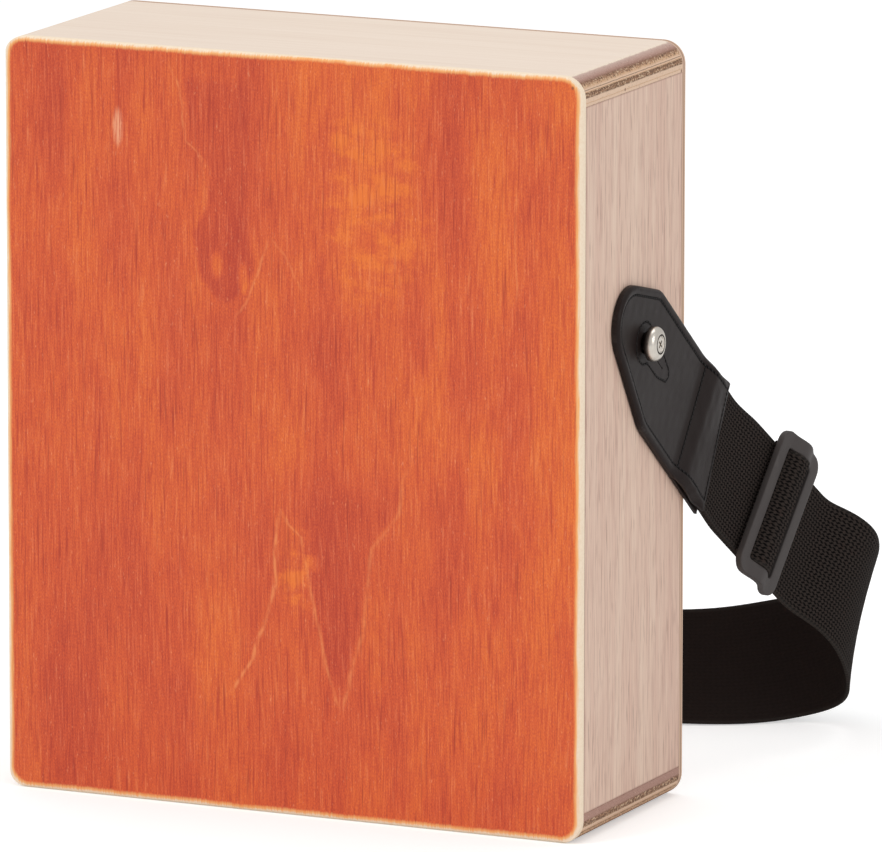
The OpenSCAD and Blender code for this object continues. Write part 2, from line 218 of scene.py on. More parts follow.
class Bench:
    """A node tree under construction."""

    MIX_COLOUR = {"data_type": "RGBA", "clamp_factor": True, "blend_type": "MIX"}

    def __init__(self, tree: bpy.types.NodeTree) -> None:
        """Empties the tree."""
        self.tree = tree
        tree.nodes.clear()

    def node(
        self, kind: str, settings: dict | None = None, values: dict | None = None, out: Union[int, str] = 0
    ) -> Signal:
        """Adds any node: its settings first, then the values or links of its sockets.

        Args:
            kind: the node's type.
            settings: properties of the node; "stops" holds a ramp's positions and colours.
            values: numbers, colours or signals for its inputs, by index or name.
            out: the output that is wanted.

        Returns:
            That output.
        """
        made = self.tree.nodes.new(kind)
        for name, value in (settings or {}).items():
            if name == "stops":
                self._set_stops(made.color_ramp, value)
            else:
                setattr(made, name, value)
        for key, value in (values or {}).items():
            socket = made.inputs[key]
            if isinstance(value, Signal):
                self.tree.links.new(value.socket, socket)
            elif isinstance(value, (tuple, list)) and socket.type == "RGBA":
                socket.default_value = (*value[:3], 1.0)
            else:
                socket.default_value = value
        return Signal(self, made.outputs[out]) if made.outputs else Signal(self, None)

    @staticmethod
    def _set_stops(ramp: bpy.types.ColorRamp, stops: Stops) -> None:
        """Gives a ramp its stops.

        Args:
            ramp: the ramp.
            stops: its positions and colours, in order.
        """
        while len(ramp.elements) > 1:
            ramp.elements.remove(ramp.elements[-1])
        ramp.elements[0].position = stops[0][0]
        ramp.elements[0].color = (*stops[0][1], 1.0)
        for position, colour in stops[1:]:
            ramp.elements.new(position).color = (*colour, 1.0)

    def place(self) -> tuple[Signal, Signal, Signal]:
        """The object coordinates in metres, one by one."""
        spot = self.node("ShaderNodeTexCoord", out="Object")
        return self.split(spot)

    def split(self, vector: Signal) -> tuple[Signal, Signal, Signal]:
        """Takes a vector apart.

        Args:
            vector: the vector.

        Returns:
            Its three parts.
        """
        first = self.node("ShaderNodeSeparateXYZ", None, {0: vector})
        parts = first.socket.node.outputs
        return first, Signal(self, parts[1]), Signal(self, parts[2])

    def surface(self) -> tuple[Signal, Signal]:
        """Reads the weave's map.

        Returns:
            Metres across and metres along.
        """
        spot = self.node("ShaderNodeUVMap", {"uv_map": WEAVE_UV})
        across, along, _ = self.split(spot)
        return across, along

    def vector(self, x: Value, y: Value = 0.0, z: Value = 0.0) -> Signal:
        """Joins three values."""
        return self.node("ShaderNodeCombineXYZ", None, {0: x, 1: y, 2: z})

    def noise(self, spot: Signal, scale: float = 1.0, detail: float = 3.0, rough: float = 0.5) -> Signal:
        """Noise from 0 to 1 round 0.5.

        Args:
            spot: the coordinate.
            scale: the pattern's scale.
            detail: the octaves.
            rough: how much each octave keeps.

        Returns:
            The noise.
        """
        return self.node(
            "ShaderNodeTexNoise",
            {"noise_dimensions": "3D", "normalize": True},
            {"Vector": spot, "Scale": scale, "Detail": detail, "Roughness": rough},
        )

    def grain(
        self, x: Value, y: Value, z: Value = 0.0, detail: float = 2.0, rough: float = 0.5
    ) -> Signal:
        """Noise over coordinates that are already stretched.

        Args:
            x: the first coordinate.
            y: the second coordinate.
            z: the third coordinate, or a number that sets this noise apart from others.
            detail: the octaves.
            rough: how much each octave keeps.

        Returns:
            The noise.
        """
        return self.noise(self.vector(x, y, z), 1.0, detail, rough)

    def cells(self, spot: Signal, scale: float) -> Signal:
        """Distance to the nearest of scattered points."""
        return self.node("ShaderNodeTexVoronoi", {"feature": "F1"}, {"Vector": spot, "Scale": scale})

    def blend(self, share: Value, first: Value, second: Value) -> Signal:
        """Mixes two colours, taking a share of the second."""
        return self.node("ShaderNodeMix", self.MIX_COLOUR, {0: share, 6: first, 7: second}, out=2)

    def lay(self, ground: Value, *coats: tuple[Value, Value]) -> Value:
        """Lays coats of colour over a ground, one after another.

        Args:
            ground: the colour underneath.
            *coats: for each coat, how much of it shows and its colour.

        Returns:
            The mixed colour.
        """
        for share, tint in coats:
            ground = self.blend(share, ground, tint)
        return ground

    def ramp(self, share: Signal, stops: Stops) -> Signal:
        """A colour along a row of stops."""
        return self.node("ShaderNodeValToRGB", {"stops": stops}, {0: share})

    def bump(self, height: Signal, depth: float, strength: float = 1.0) -> Signal:
        """Relief.

        Args:
            height: the relief from 0 to 1.
            depth: its depth in metres.
            strength: how much it shows.

        Returns:
            The bent normal.
        """
        return self.node("ShaderNodeBump", None, {"Strength": strength, "Distance": depth, "Height": height})

    def finish(self, base: Value, rough: Value, normal: Signal | None = None, **more: Value) -> None:
        """Adds the shader and the output.

        Args:
            base: the base colour.
            rough: the roughness.
            normal: the bent normal.
            **more: other sockets, with underscores for the spaces in their names.
        """
        values = {"Base Color": base, "Roughness": rough}
        values.update({name.replace("_", " "): value for name, value in more.items()})
        if normal is not None:
            values["Normal"] = normal
        shader = self.node("ShaderNodeBsdfPrincipled", None, values)
        self.node("ShaderNodeOutputMaterial", None, {"Surface": shader})


@dataclass(frozen=True)
class Finish:
    """A surface finish. Each kind draws its own nodes."""

    name: str

    def make(self) -> bpy.types.Material:
        """Builds the material.

        Returns:
            The material, with its nodes drawn.
        """
        material = bpy.data.materials.new(self.name)
        material.use_nodes = True
        self.draw(Bench(material.node_tree))
        return material

    def draw(self, bench: Bench) -> None:
        """Draws the nodes."""
        raise NotImplementedError


# ---------------------------------------------------------------- finishes


@dataclass(frozen=True)
class StainedPanel(Finish):
    """Orange stain over plain-sawn veneer, sanded back to bare wood at the front edges."""

    stain: Colour = (0.690, 0.112, 0.040)
    deep: Colour = (0.500, 0.062, 0.034)
    bright: Colour = (0.860, 0.205, 0.040)
    pale: Colour = (0.900, 0.310, 0.110)
    fade: Colour = (0.980, 0.520, 0.190)
    bare: Colour = (0.930, 0.780, 0.600)

    # Ovals: their middle's x and z, their half width and their half height, in millimetres.
    SCUFF = (-75.3, 271.7, 3.0, 9.5)
    CORNER_MARK = (121.4, 300.8, 0.7, 0.9)
    BRIGHT_PATCH = (36, 245, 30, 48)
    BRIGHT_SPOTS = ((24.5, 274, 9, 10), (36, 252, 12, 6))
    PEAK_SPOTS = ((-31.8, 219.5, 3.5, 7), (-20.4, 215, 3, 8))
    LOW_SPOT = (3, 100, 12, 20)
    RED_UPPER = (66, 262, 16, 50)
    RED_LOWER = (56, 205, 11, 30)

    # Lines of the figure and of the redder tongues: x and z in millimetres, from the top down.
    PEAK_LEFT = (
        (-3.7, 124), (-6.0, 111.5), (-6.7, 92), (-9.1, 81), (-13.6, 72), (-16.7, 62), (-22.8, 54), (-28, 46),
    )
    PEAK_RIGHT = (
        (-3.7, 124), (0, 117.5), (5.3, 113), (6.8, 104), (9, 92),
        (11.3, 83), (13.5, 73), (15.4, 61), (18.7, 52.5), (22, 43),
    )
    SECOND_FLANK = ((52, 146), (47, 124.5), (36, 111), (34, 92), (31.5, 76), (27, 64), (25, 53), (22.5, 44))
    SMALL_PEAK_LEFT = ((-8.7, 233), (-14, 217.5), (-19, 205), (-26, 196))
    SMALL_PEAK_RIGHT = ((-8.7, 233), (-3.5, 227), (0.3, 221), (5, 212))
    UPPER_FLANK = ((-55, 301), (-52, 296), (-47.7, 288), (-46.6, 277), (-45, 268), (-38, 262), (-37, 246))
    TONGUE_LEFT = (
        (-49, 300), (-46, 283), (-42, 267), (-36, 258), (-37, 243), (-43, 231), (-40, 215), (-31, 203),
    )
    TONGUE_RIGHT = ((-17, 302), (-16, 275), (-16, 233), (-14, 218), (-22, 206), (-28, 203))

    # Pale lines: their points, lowest and highest z, how strongly they show and their half width.
    PALE_LINES = (
        (PEAK_LEFT, 44, 125, 0.90, 1.5),
        (PEAK_RIGHT, 44, 125, 0.65, 1.3),
        (SECOND_FLANK, 44, 146, 0.50, 1.5),
        (SMALL_PEAK_LEFT, 198, 234, 0.70, 1.1),
        (SMALL_PEAK_RIGHT, 210, 234, 0.45, 1.2),
        (UPPER_FLANK, 238, 300, 0.55, 1.0),
        (((97.4, 256), (97.5, 200)), 205, 258, 0.40, 0.7),
        (((101.4, 282), (101.4, 262)), 262, 284, 0.40, 0.7),
        (((78, 230), (78, 206)), 206, 230, 0.40, 0.7),
    )

    def draw(self, bench: Bench) -> None:
        """Draws short grain strokes, the veneer's figure, mottling and the sanded rim.

        Args:
            bench: the material's node tree.
        """
        x, y, z = bench.place()
        sway = bench.grain(x * 9, z * 6, 0.3) - 0.5
        grain_x = x + sway * 0.005
        strokes = bench.grain(grain_x * 1400, z * 70, 1.7, detail=4.0, rough=0.68)
        fine = bench.grain(x * 2400, z * 1100, 4.1)
        pore = bench.grain(grain_x * 950, z * 34, 8.2, rough=0.6)
        bands = bench.grain(grain_x * 75, z * 7, 9.3)
        cloud = bench.grain(x * 28, z * 15, 2.2, detail=3.0, rough=0.6)
        fleck = bench.grain(grain_x * 1700, z * 420, 6.6)
        tone = 0.5 + self._glow(bench, x, z, cloud) * 0.58 - self._dusk(bench, grain_x, z, cloud) * 0.36
        for part, weight in ((strokes, 0.95), (fine, 0.95), (bands, 0.60), (cloud, 0.50)):
            tone = tone + (part - 0.5) * weight
        stops = [(0.06, self.deep), (0.50, self.stain), (0.95, self.bright)]
        scuff = self._oval(x, z, *self.SCUFF) * strokes.rise(0.34, 0.62)
        stained = bench.lay(
            bench.ramp(tone.clamp(), stops),
            (strokes.rise(0.52, 0.78) * 0.20, (0.930, 0.420, 0.260)),
            (strokes.rise(0.50, 0.26) * 0.42, (0.420, 0.046, 0.026)),
            (fleck.rise(0.64, 0.80) * 0.45, (0.930, 0.400, 0.200)),
            (pore.rise(0.55, 0.68) * 0.42, self.deep),
            (pore.rise(0.63, 0.74) * 0.45, (0.330, 0.038, 0.023)),
            (self._figure(bench, grain_x, z), self.pale),
            (scuff * 0.75, (0.93, 0.46, 0.27)),
        )
        edge_grain = bench.grain(x * 900, y * 900, z * 900)
        bare = bench.lay(
            self.bare,
            (edge_grain.rise(0.35, 0.75) * 0.4, (0.84, 0.64, 0.45)),
            (edge_grain.rise(0.25, 0.18) * 0.7, (0.36, 0.18, 0.09)),
        )
        rim = self._rim_distance(x, z) + (z - (BODY_H - 0.008)).rise(0.0, 0.004) * 0.0008
        ragged = rim + (strokes - 0.5) * 0.0024 + (cloud - 0.5) * 0.0022 + 0.0007
        colour = bench.lay(
            stained,
            (ragged.rise(0.0040, 0.0024) * 0.85, self.fade),
            (ragged.rise(0.0027, 0.0015), bare),
            (self._oval(x, z, *self.CORNER_MARK) * 0.8, (0.25, 0.10, 0.04)),
            ((y + BODY_D / 2).rise(0.0008, 0.0015), bare),
        )
        relief = bench.bump(strokes * 0.7 + fine * 0.3, 0.00005, 0.5)
        bench.finish(colour, 0.44 + strokes * 0.16, relief, Specular_IOR_Level=0.24)

    @staticmethod
    def _oval(x: Signal, z: Signal, at_x: float, at_z: float, half_w: float, half_h: float) -> Signal:
        """A soft upright oval.

        Args:
            x: the place across the panel.
            z: the height.
            at_x: the middle's x, in millimetres like the other sizes.
            at_z: the middle's z.
            half_w: half its width.
            half_h: half its height.

        Returns:
            1 in its middle and 0 outside.
        """
        across = (x - at_x * MM) / (half_w * MM)
        up = (z - at_z * MM) / (half_h * MM)
        return (across * across + up * up).rise(1.0, 0.0)

    @staticmethod
    def _line(bench: Bench, z: Signal, points: Line) -> Signal:
        """Where a line of the figure runs.

        Args:
            bench: the node tree.
            z: the height.
            points: its x and z in millimetres, from its top down.

        Returns:
            The line's x at this height, in metres.
        """
        at = z * 0.0 + points[0][0] * MM
        for (ax, az), (bx, bz) in zip(points, points[1:]):
            share = bench.node(
                "ShaderNodeMapRange", {"interpolation_type": "LINEAR", "clamp": True},
                {0: z, 1: az * MM, 2: bz * MM, 3: 0.0, 4: (bx - ax) * MM},
            )
            at = at + share
        return at

    @staticmethod
    def _span(z: Signal, low: float, high: float, soft: float = 6.0) -> Signal:
        """1 between two heights in millimetres, with soft ends."""
        return (z - low * MM).rise(0.0, soft * MM) * (high * MM - z).rise(0.0, soft * MM)

    def _glow(self, bench: Bench, x: Signal, z: Signal, cloud: Signal) -> Signal:
        """The brighter mottled patch high on the right, and weaker ones by the peaks.

        Args:
            bench: the node tree.
            x: the place across the panel.
            z: the height.
            cloud: the panel's slow mottling.

        Returns:
            How much brighter the stain is, from 0 to 1.
        """
        ripple = bench.grain(x * 95, z * 165, 5.5, detail=3.0)
        patch = self._oval(x, z, *self.BRIGHT_PATCH) * (0.15 + ripple.rise(0.38, 0.72) * 0.70)
        pairs = (self.BRIGHT_SPOTS, self.PEAK_SPOTS)
        spots, peaks = (self._oval(x, z, *first) + self._oval(x, z, *second) for first, second in pairs)
        low = self._oval(x, z, *self.LOW_SPOT) * ripple.rise(0.42, 0.66)
        right = (x - 0.060).rise(-0.08, 0.03) * cloud.rise(0.3, 0.6)
        return (patch + spots * ripple.rise(0.3, 0.6) * 0.55 + peaks * 0.7 + low * 0.8 + right * 0.22).clamp()

    def _dusk(self, bench: Bench, x: Signal, z: Signal, cloud: Signal) -> Signal:
        """Redder tongues: one left of the middle above, one between the peaks below, one on the right.

        Args:
            bench: the node tree.
            x: the place across the panel.
            z: the height.
            cloud: the panel's slow mottling.

        Returns:
            How much redder the stain is, from 0 to 1.
        """
        upper = (x - self._line(bench, z, self.TONGUE_LEFT)).rise(0.0, 0.003) * self._span(z, 202, 296)
        upper = upper * (self._line(bench, z, self.TONGUE_RIGHT) - x).rise(0.0, 0.004)
        lower = (x - self._line(bench, z, self.PEAK_RIGHT)).rise(0.0, 0.002) * self._span(z, 44, 150, 24)
        lower = lower * (self._line(bench, z, self.SECOND_FLANK) - x).rise(0.0, 0.003)
        side = self._oval(x, z, *self.RED_UPPER) * 0.8 + self._oval(x, z, *self.RED_LOWER) * 0.6
        left = (x + 0.060).rise(0.025, -0.05) * 0.16
        return ((upper * 0.9 + lower * 0.75 + side) * cloud.rise(0.22, 0.66) + left).clamp()

    def _figure(self, bench: Bench, x: Signal, z: Signal) -> Signal:
        """Pale ragged lines along the veneer's cathedral figure.

        Args:
            bench: the node tree.
            x: the place across the panel.
            z: the height.

        Returns:
            How much the pale wood shows, from 0 to 1.
        """
        at = x + (bench.grain(x * 160, z * 90, 3.1, detail=3.0) - 0.5) * 0.0030
        broken = bench.grain(x * 520, z * 120, 5.1, detail=3.0).rise(0.36, 0.62)
        shown = z * 0.0
        for points, low, high, share, half in self.PALE_LINES:
            line = abs(at - self._line(bench, z, points)).rise(half * MM, 0.0)
            shown = shown + line * self._span(z, low, high) * share
        return (shown * (0.20 + broken * 0.80)).clamp() * 0.75

    @staticmethod
    def _rim_distance(x: Signal, z: Signal) -> Signal:
        """Distance inside the panel's rounded outline.

        Args:
            x: the place across the panel.
            z: the height.

        Returns:
            The distance in metres, less than 0 outside.
        """
        over_x = abs(x) - (BODY_W / 2 - CORNER_R)
        over_z = abs(z - BODY_H / 2) - (BODY_H / 2 - CORNER_R)
        out_x = over_x.most(0.0)
        out_z = over_z.most(0.0)
        corner = (out_x * out_x + out_z * out_z) ** 0.5
        inside = over_x.most(over_z).least(0.0)
        return CORNER_R - corner - inside


@dataclass(frozen=True)
class PlyEnd(Finish):
    """A full-width panel: pale face veneer, with its plies bare where its ends are rounded."""

    upper: bool = True
    face: Colour = (0.87, 0.735, 0.62)

    # Two pin marks on the right end: their y and z and their radius, in millimetres.
    MARKS = ((-9.0, 294.4), (46.0, 293.6))
    MARK_R = 0.75

    def _stops(self) -> Stops:
        """The plies from the panel's outer face inwards.

        Returns:
            Their places, as shares of the panel's thickness, and their colours.
        """
        cream, purple, grey = (0.87, 0.74, 0.60), (0.42, 0.240, 0.190), (0.25, 0.120, 0.07)
        tan, dark, pale = (0.63, 0.38, 0.22), (0.18, 0.085, 0.04), (0.76, 0.54, 0.39)
        brown = (0.37, 0.195, 0.105)
        if self.upper:
            rows = [(0.00, cream), (0.035, cream), (0.055, (0.56, 0.39, 0.33)), (0.17, purple), (0.235, grey)]
            rows += [(0.30, brown), (0.37, tan), (0.45, pale), (0.47, dark), (0.49, pale), (0.53, tan)]
            rows += [(0.56, dark), (0.66, brown), (0.70, dark), (0.74, pale), (0.86, pale)]
            return rows + [(0.885, tan), (0.91, pale), (0.985, pale), (1.0, dark)]
        rows = [(0.00, dark), (0.05, brown), (0.20, brown), (0.24, tan), (0.34, tan), (0.36, dark)]
        rows += [(0.39, tan), (0.47, pale), (0.51, pale), (0.54, brown), (0.60, dark), (0.65, brown)]
        return rows + [(0.72, grey), (0.77, purple), (0.97, purple), (1.0, dark)]

    def draw(self, bench: Bench) -> None:
        """Draws the face's grain and the layered ends.

        Args:
            bench: the material's node tree.
        """
        x, y, z = bench.place()
        grain = bench.grain(x * 14, y * 900, z * 300, detail=4.0, rough=0.6)
        soft = bench.grain(x * 5, y * 120, 0.4)
        face = bench.lay(
            self.face,
            (grain.rise(0.3, 0.75) * 0.42, (0.74, 0.575, 0.455)),
            (soft.rise(0.35, 0.7) * 0.3, (0.90, 0.77, 0.66)),
        )
        depth = (BODY_H - z) if self.upper else z
        ragged = bench.grain(x * 300, y * 260, z * 500, detail=3.0) - 0.5
        layer = depth / PANEL_T + ragged * 0.035
        fibre = bench.grain(x * 600, y * 1100, z * 2600, detail=3.0, rough=0.65)
        open_grain = bench.grain(x * 800, y * 900, z * 1500)
        outer_ply = layer.rise(0.20, 0.28) * layer.rise(0.42, 0.34)
        inner_ply = layer.rise(0.52, 0.56) * layer.rise(0.74, 0.70)
        rough_ply = (outer_ply + inner_ply).clamp() * 0.8
        plies = bench.lay(
            bench.ramp(layer.clamp(), self._stops()),
            (fibre.rise(0.56, 0.70) * 0.45, (0.70, 0.56, 0.45)),
            (fibre.rise(0.44, 0.30) * 0.55, (0.16, 0.09, 0.06)),
            (open_grain.rise(0.56, 0.64) * rough_ply, (0.72, 0.55, 0.38)),
            (open_grain.rise(0.45, 0.37) * rough_ply, (0.07, 0.035, 0.02)),
        )
        for at_y, at_z in self.MARKS:
            off_y, off_z = ((at - mid * MM) / (self.MARK_R * MM) for at, mid in ((y, at_y), (z, at_z)))
            mark = (off_y * off_y + off_z * off_z).rise(1.0, 0.4) * x.rise(0.0, 0.001)
            plies = bench.blend(mark * 0.8, plies, (0.20, 0.09, 0.06))
        end = (abs(x) - (BODY_W / 2 - CORNER_R)).rise(0.0012, 0.0030)
        under = (BODY_W / 2 - PANEL_T - 0.0002 - abs(x)).rise(0.0, 0.0004)
        under = under * (depth - PANEL_T * 0.9).rise(0, 0.0008)
        colour = bench.lay(face, (end, plies), (under, self.face))
        relief = bench.bump(fibre * end + grain * (1 - end), 0.00012, 0.5)
        bench.finish(colour, 0.55 + fibre * 0.15, relief, Specular_IOR_Level=0.35)


@dataclass(frozen=True)
class StreakedVeneer(Finish):
    """Pinkish veneer with fine upright streaks, for the side panels and the back."""

    base: Colour = (0.70, 0.485, 0.385)
    streak: Colour = (0.47, 0.275, 0.22)
    pale: Colour = (0.79, 0.60, 0.475)
    along_x: bool = False
    rim: bool = False

    # The bare plies of the back's rim, from its outer face inwards.
    RIM_STOPS = (
        (0.00, (0.70, 0.52, 0.38)), (0.30, (0.66, 0.46, 0.33)), (0.36, (0.38, 0.22, 0.15)),
        (0.64, (0.44, 0.27, 0.19)), (0.70, (0.66, 0.46, 0.32)), (1.00, (0.62, 0.42, 0.31)),
    )

    def draw(self, bench: Bench) -> None:
        """Draws long streaks, short dark pores and, on the back, the bare plies of its rim.

        Args:
            bench: the material's node tree.
        """
        x, y, z = bench.place()
        across = x if self.along_x else y
        sway = bench.grain(across * 20, z * 9, 1.1) - 0.5
        line = across + sway * 0.002
        broad = bench.grain(line * 170, z * 5, x * 3, detail=3.0, rough=0.55)
        fine = bench.grain(line * 1500, z * 34, x * 5, detail=4.0, rough=0.6)
        dash = bench.grain(line * 1150, z * 62, 3.3)
        colour = bench.lay(
            self.base,
            (broad.rise(0.3, 0.7) * 0.75, self.pale),
            (fine.rise(0.48, 0.72) * 0.70, self.streak),
            (fine.rise(0.44, 0.28) * 0.40, (0.86, 0.70, 0.57)),
            (dash.rise(0.58, 0.70) * 0.55, (0.38, 0.22, 0.175)),
        )
        if self.rim:
            depth = (BODY_D / 2 - y) / BACK_T
            colour = bench.blend(depth.rise(0.04, 0.10), colour, bench.ramp(depth.clamp(), self.RIM_STOPS))
        else:
            front = (y + BODY_D / 2 - TAPA_T).rise(0.0009, 0.0002)
            back = (BODY_D / 2 - BACK_T - y).rise(0.0007, 0.0002)
            ends = (abs(z - BODY_H / 2) - (BODY_H / 2 - PANEL_T)).rise(-0.0007, -0.0001)
            colour = bench.lay(
                colour,
                ((front + back).clamp() * 0.8, (0.30, 0.16, 0.11)),
                (ends * 0.6, (0.42, 0.23, 0.18)),
            )
        relief = bench.bump(fine * 0.6 + dash * 0.4, 0.00006, 0.5)
        bench.finish(colour, 0.50 + fine * 0.15, relief, Specular_IOR_Level=0.35)


@dataclass(frozen=True)
class RawWood(Finish):
    """Planed softwood for the blocks and bars inside."""

    base: Colour = (0.62, 0.44, 0.27)

    def draw(self, bench: Bench) -> None:
        """Draws straight grain along X.

        Args:
            bench: the material's node tree.
        """
        x, y, z = bench.place()
        grain = bench.grain(x * 12, y * 420, z * 420, detail=4.0, rough=0.6)
        rings = bench.grain(x * 3, y * 90, z * 90)
        colour = bench.lay(
            self.base,
            (grain.rise(0.35, 0.7), (0.44, 0.27, 0.15)),
            (rings.rise(0.4, 0.7) * 0.6, (0.74, 0.57, 0.38)),
        )
        bench.finish(colour, 0.62 + grain * 0.2, bench.bump(grain, 0.00015, 0.6))


@dataclass(frozen=True)
class BrushedMetal(Finish):
    """Nickel or steel with fine turning lines round an axis along X, or drawn along Z."""

    base: Colour = (0.74, 0.69, 0.62)
    rough: float = 0.24
    centre: tuple[float, float] | None = None

    # The groove in the button's head, painted dark as shade.
    RING_R = 3.72 * MM

    def draw(self, bench: Bench) -> None:
        """Draws the lines and faint handling marks, and on the button painted shade under its head and in its
        groove, with a painted dark reflection on the head's lower side.

        Args:
            bench: the material's node tree.
        """
        x, y, z = bench.place()
        if self.centre:
            off_y, off_z = y - self.centre[0], z - self.centre[1]
            radius = (off_y * off_y + off_z * off_z) ** 0.5
            lines = bench.grain(radius * 5200, x * 2600, 0.5)
        else:
            lines = bench.grain(x * 4000, y * 4000, z * 300)
        marks = bench.grain(x * 420, y * 420, z * 420, detail=3.0)
        colour = bench.blend(marks.rise(0.35, 0.75) * 0.35, self.base, (0.58, 0.52, 0.46))
        if self.centre:
            # Painted shade on the neck under the head, fading up into a painted dark reflection on the lower
            # side of the head.
            over = abs(x) - BODY_W / 2
            # Painted shade: the groove in the head nearly black.
            ring = abs(radius - self.RING_R).rise(0.00050, 0.00026) * over.rise(0.0085, 0.0090)
            colour = bench.lay(
                colour,
                (over.rise(0.0082, 0.0054) * 0.85, (0.17, 0.12, 0.095)),
                (ring * 0.9, (0.05, 0.038, 0.032)),
            )
        rough = self.rough + lines * 0.10 + marks.rise(0.5, 0.8) * 0.12
        bench.finish(colour, rough, bench.bump(lines, 0.00002, 0.35), Metallic=1.0)


@dataclass(frozen=True)
class Leather(Finish):
    """Smooth charcoal leather with a fine pebble, paler along raised edges partly in its own colour and
    partly as a painted highlight, and with painted shade in its stitch grooves.
    """

    base: Colour = (0.0180, 0.0122, 0.0112)
    edge_tone_and_highlight: Colour = (0.052, 0.043, 0.040)
    # Painted shade for the stitch grooves.
    groove: Colour = (0.004, 0.0035, 0.0035)

    def draw(self, bench: Bench) -> None:
        """Draws pebbles, creases, raised edges made paler partly as a painted highlight, and painted shade in
        the seams.

        Args:
            bench: the material's node tree.
        """
        x, y, z = bench.place()
        spot = bench.vector(x, y, z)
        pebble = bench.cells(spot, 1500.0)
        crease = bench.noise(spot, 330.0, 4.0, 0.6)
        cloud = bench.noise(spot, 60.0, 3.0)
        # Raised edges: paler, partly the leather's own edge colour and partly a painted highlight.
        edge = bench.node("ShaderNodeNewGeometry", out="Pointiness").rise(0.53, 0.62)
        seam = bench.node("ShaderNodeAttribute", {"attribute_name": SEAM_MARK}, out="Fac").rise(0.85, 0.93)
        colour = bench.lay(
            self.base,
            (cloud.rise(0.3, 0.75) * 0.5, (0.0245, 0.0190, 0.0178)),
            (pebble.rise(0.5, 0.0) * 0.35, (0.013, 0.010, 0.0095)),
            (edge * 0.5, self.edge_tone_and_highlight),
            # Painted shade: the leather nearly black in the groove along each seam.
            (seam, self.groove),
        )
        height = (1 - pebble) * 0.12 + crease * 0.15 - seam
        rough = 0.34 + crease * 0.14 - cloud * 0.06 + seam * 0.3
        bench.finish(colour, rough, bench.bump(height, 0.00035, 0.6), Specular_IOR_Level=0.10)


@dataclass(frozen=True)
class Thread(Finish):
    """Waxed sewing thread, nearly black."""

    base: Colour = (0.006, 0.005, 0.005)

    def draw(self, bench: Bench) -> None:
        """Draws the twist.

        Args:
            bench: the material's node tree.
        """
        x, y, z = bench.place()
        twist = bench.grain(x * 3000, y * 3000, z * 3000)
        colour = bench.blend(twist.rise(0.4, 0.7), self.base, (0.016, 0.014, 0.013))
        bench.finish(colour, 0.6, bench.bump(twist, 0.00008, 0.6), Specular_IOR_Level=0.25)


@dataclass(frozen=True)
class Webbing(Finish):
    """Woven strap: plump yarns in staggered columns, with painted shade in a dimple at each crossing and in
    the valleys between yarns, and its inner face painted darker as shade.
    """

    lit: Colour = (0.034, 0.0260, 0.0225)
    dark: Colour = (0.0012, 0.0008, 0.0008)
    rib: float = 1.5 * MM
    pick: float = 2.25 * MM

    def draw(self, bench: Bench) -> None:
        """Draws the weave over the piece's own map.

        Args:
            bench: the material's node tree.
        """
        across, along = bench.surface()
        inner = across.rise(0.45, 0.55)
        across = across - inner * INNER_FACE
        fuzz = bench.grain(across * 1300, along * 1300)
        wander = bench.grain(across * 140, along * 140, 3.0) - 0.5
        column = across / self.rib + wander * 0.30
        row = along / self.pick + wander * 0.40
        shift = (column.math("FLOOR") % 2.0) * 0.3
        in_column = abs(column.math("FRACT") - 0.5) * 2.0
        in_row = abs((row + shift).math("FRACT") - 0.5) * 2.0
        plain = 1 - inner * 0.72
        # Painted shade: dark dimples at the crossings and dark valleys between the yarns.
        dimple = in_column.rise(0.10, 0.62) * in_row.rise(0.18, 0.68) * plain
        valley = (in_column.rise(0.55, 1.0) * 0.30 + in_row.rise(0.6, 1.0) * 0.22) * plain
        height = (1 - dimple * 0.7 - valley * 0.6 + (fuzz - 0.5) * 0.25).clamp()
        shade = (dimple * 0.95 + valley + (fuzz - 0.5) * 0.45).clamp()
        warm = bench.grain(across * 230, along * 230, 6.0)
        edge = (abs(across) - STRAP_W / 2).rise(-0.0018, -0.0009)
        colour = bench.lay(
            self.lit,
            (shade, self.dark),
            (warm.rise(0.52, 0.78) * (1 - shade) * 0.5, (0.034, 0.021, 0.018)),
            # Painted shade: the inner face, which faces the drum, darker, with a faint reddish tint.
            (inner * 0.75, (0.0125, 0.0078, 0.0070)),
            (edge * 0.45, (0.036, 0.031, 0.028)),
        )
        relief = bench.bump(height, 0.00035, 0.8)
        bench.finish(colour, 0.84 + fuzz * 0.10, relief, Specular_IOR_Level=0.08)


@dataclass(frozen=True)
class MouldedPlastic(Finish):
    """Matte grey-brown moulding with a fine spark-eroded texture."""

    base: Colour = (0.052, 0.043, 0.041)

    def draw(self, bench: Bench) -> None:
        """Draws the texture, flow marks and a painted highlight along the edges.

        Args:
            bench: the material's node tree.
        """
        x, y, z = bench.place()
        spot = bench.vector(x, y, z)
        grit = bench.noise(spot, 3600.0, 2.0)
        flow = bench.grain(x * 60, y * 140, z * 60, detail=3.0)
        # Painted highlight: the edges lighter.
        edge = bench.node("ShaderNodeNewGeometry", out="Pointiness").rise(0.53, 0.60)
        colour = bench.lay(
            self.base,
            (flow.rise(0.35, 0.7) * 0.5, (0.060, 0.051, 0.048)),
            (edge * 0.4, (0.075, 0.067, 0.063)),
        )
        rough = 0.46 + grit * 0.14 + flow * 0.06
        bench.finish(colour, rough, bench.bump(grit, 0.00004, 0.5), Specular_IOR_Level=0.36)


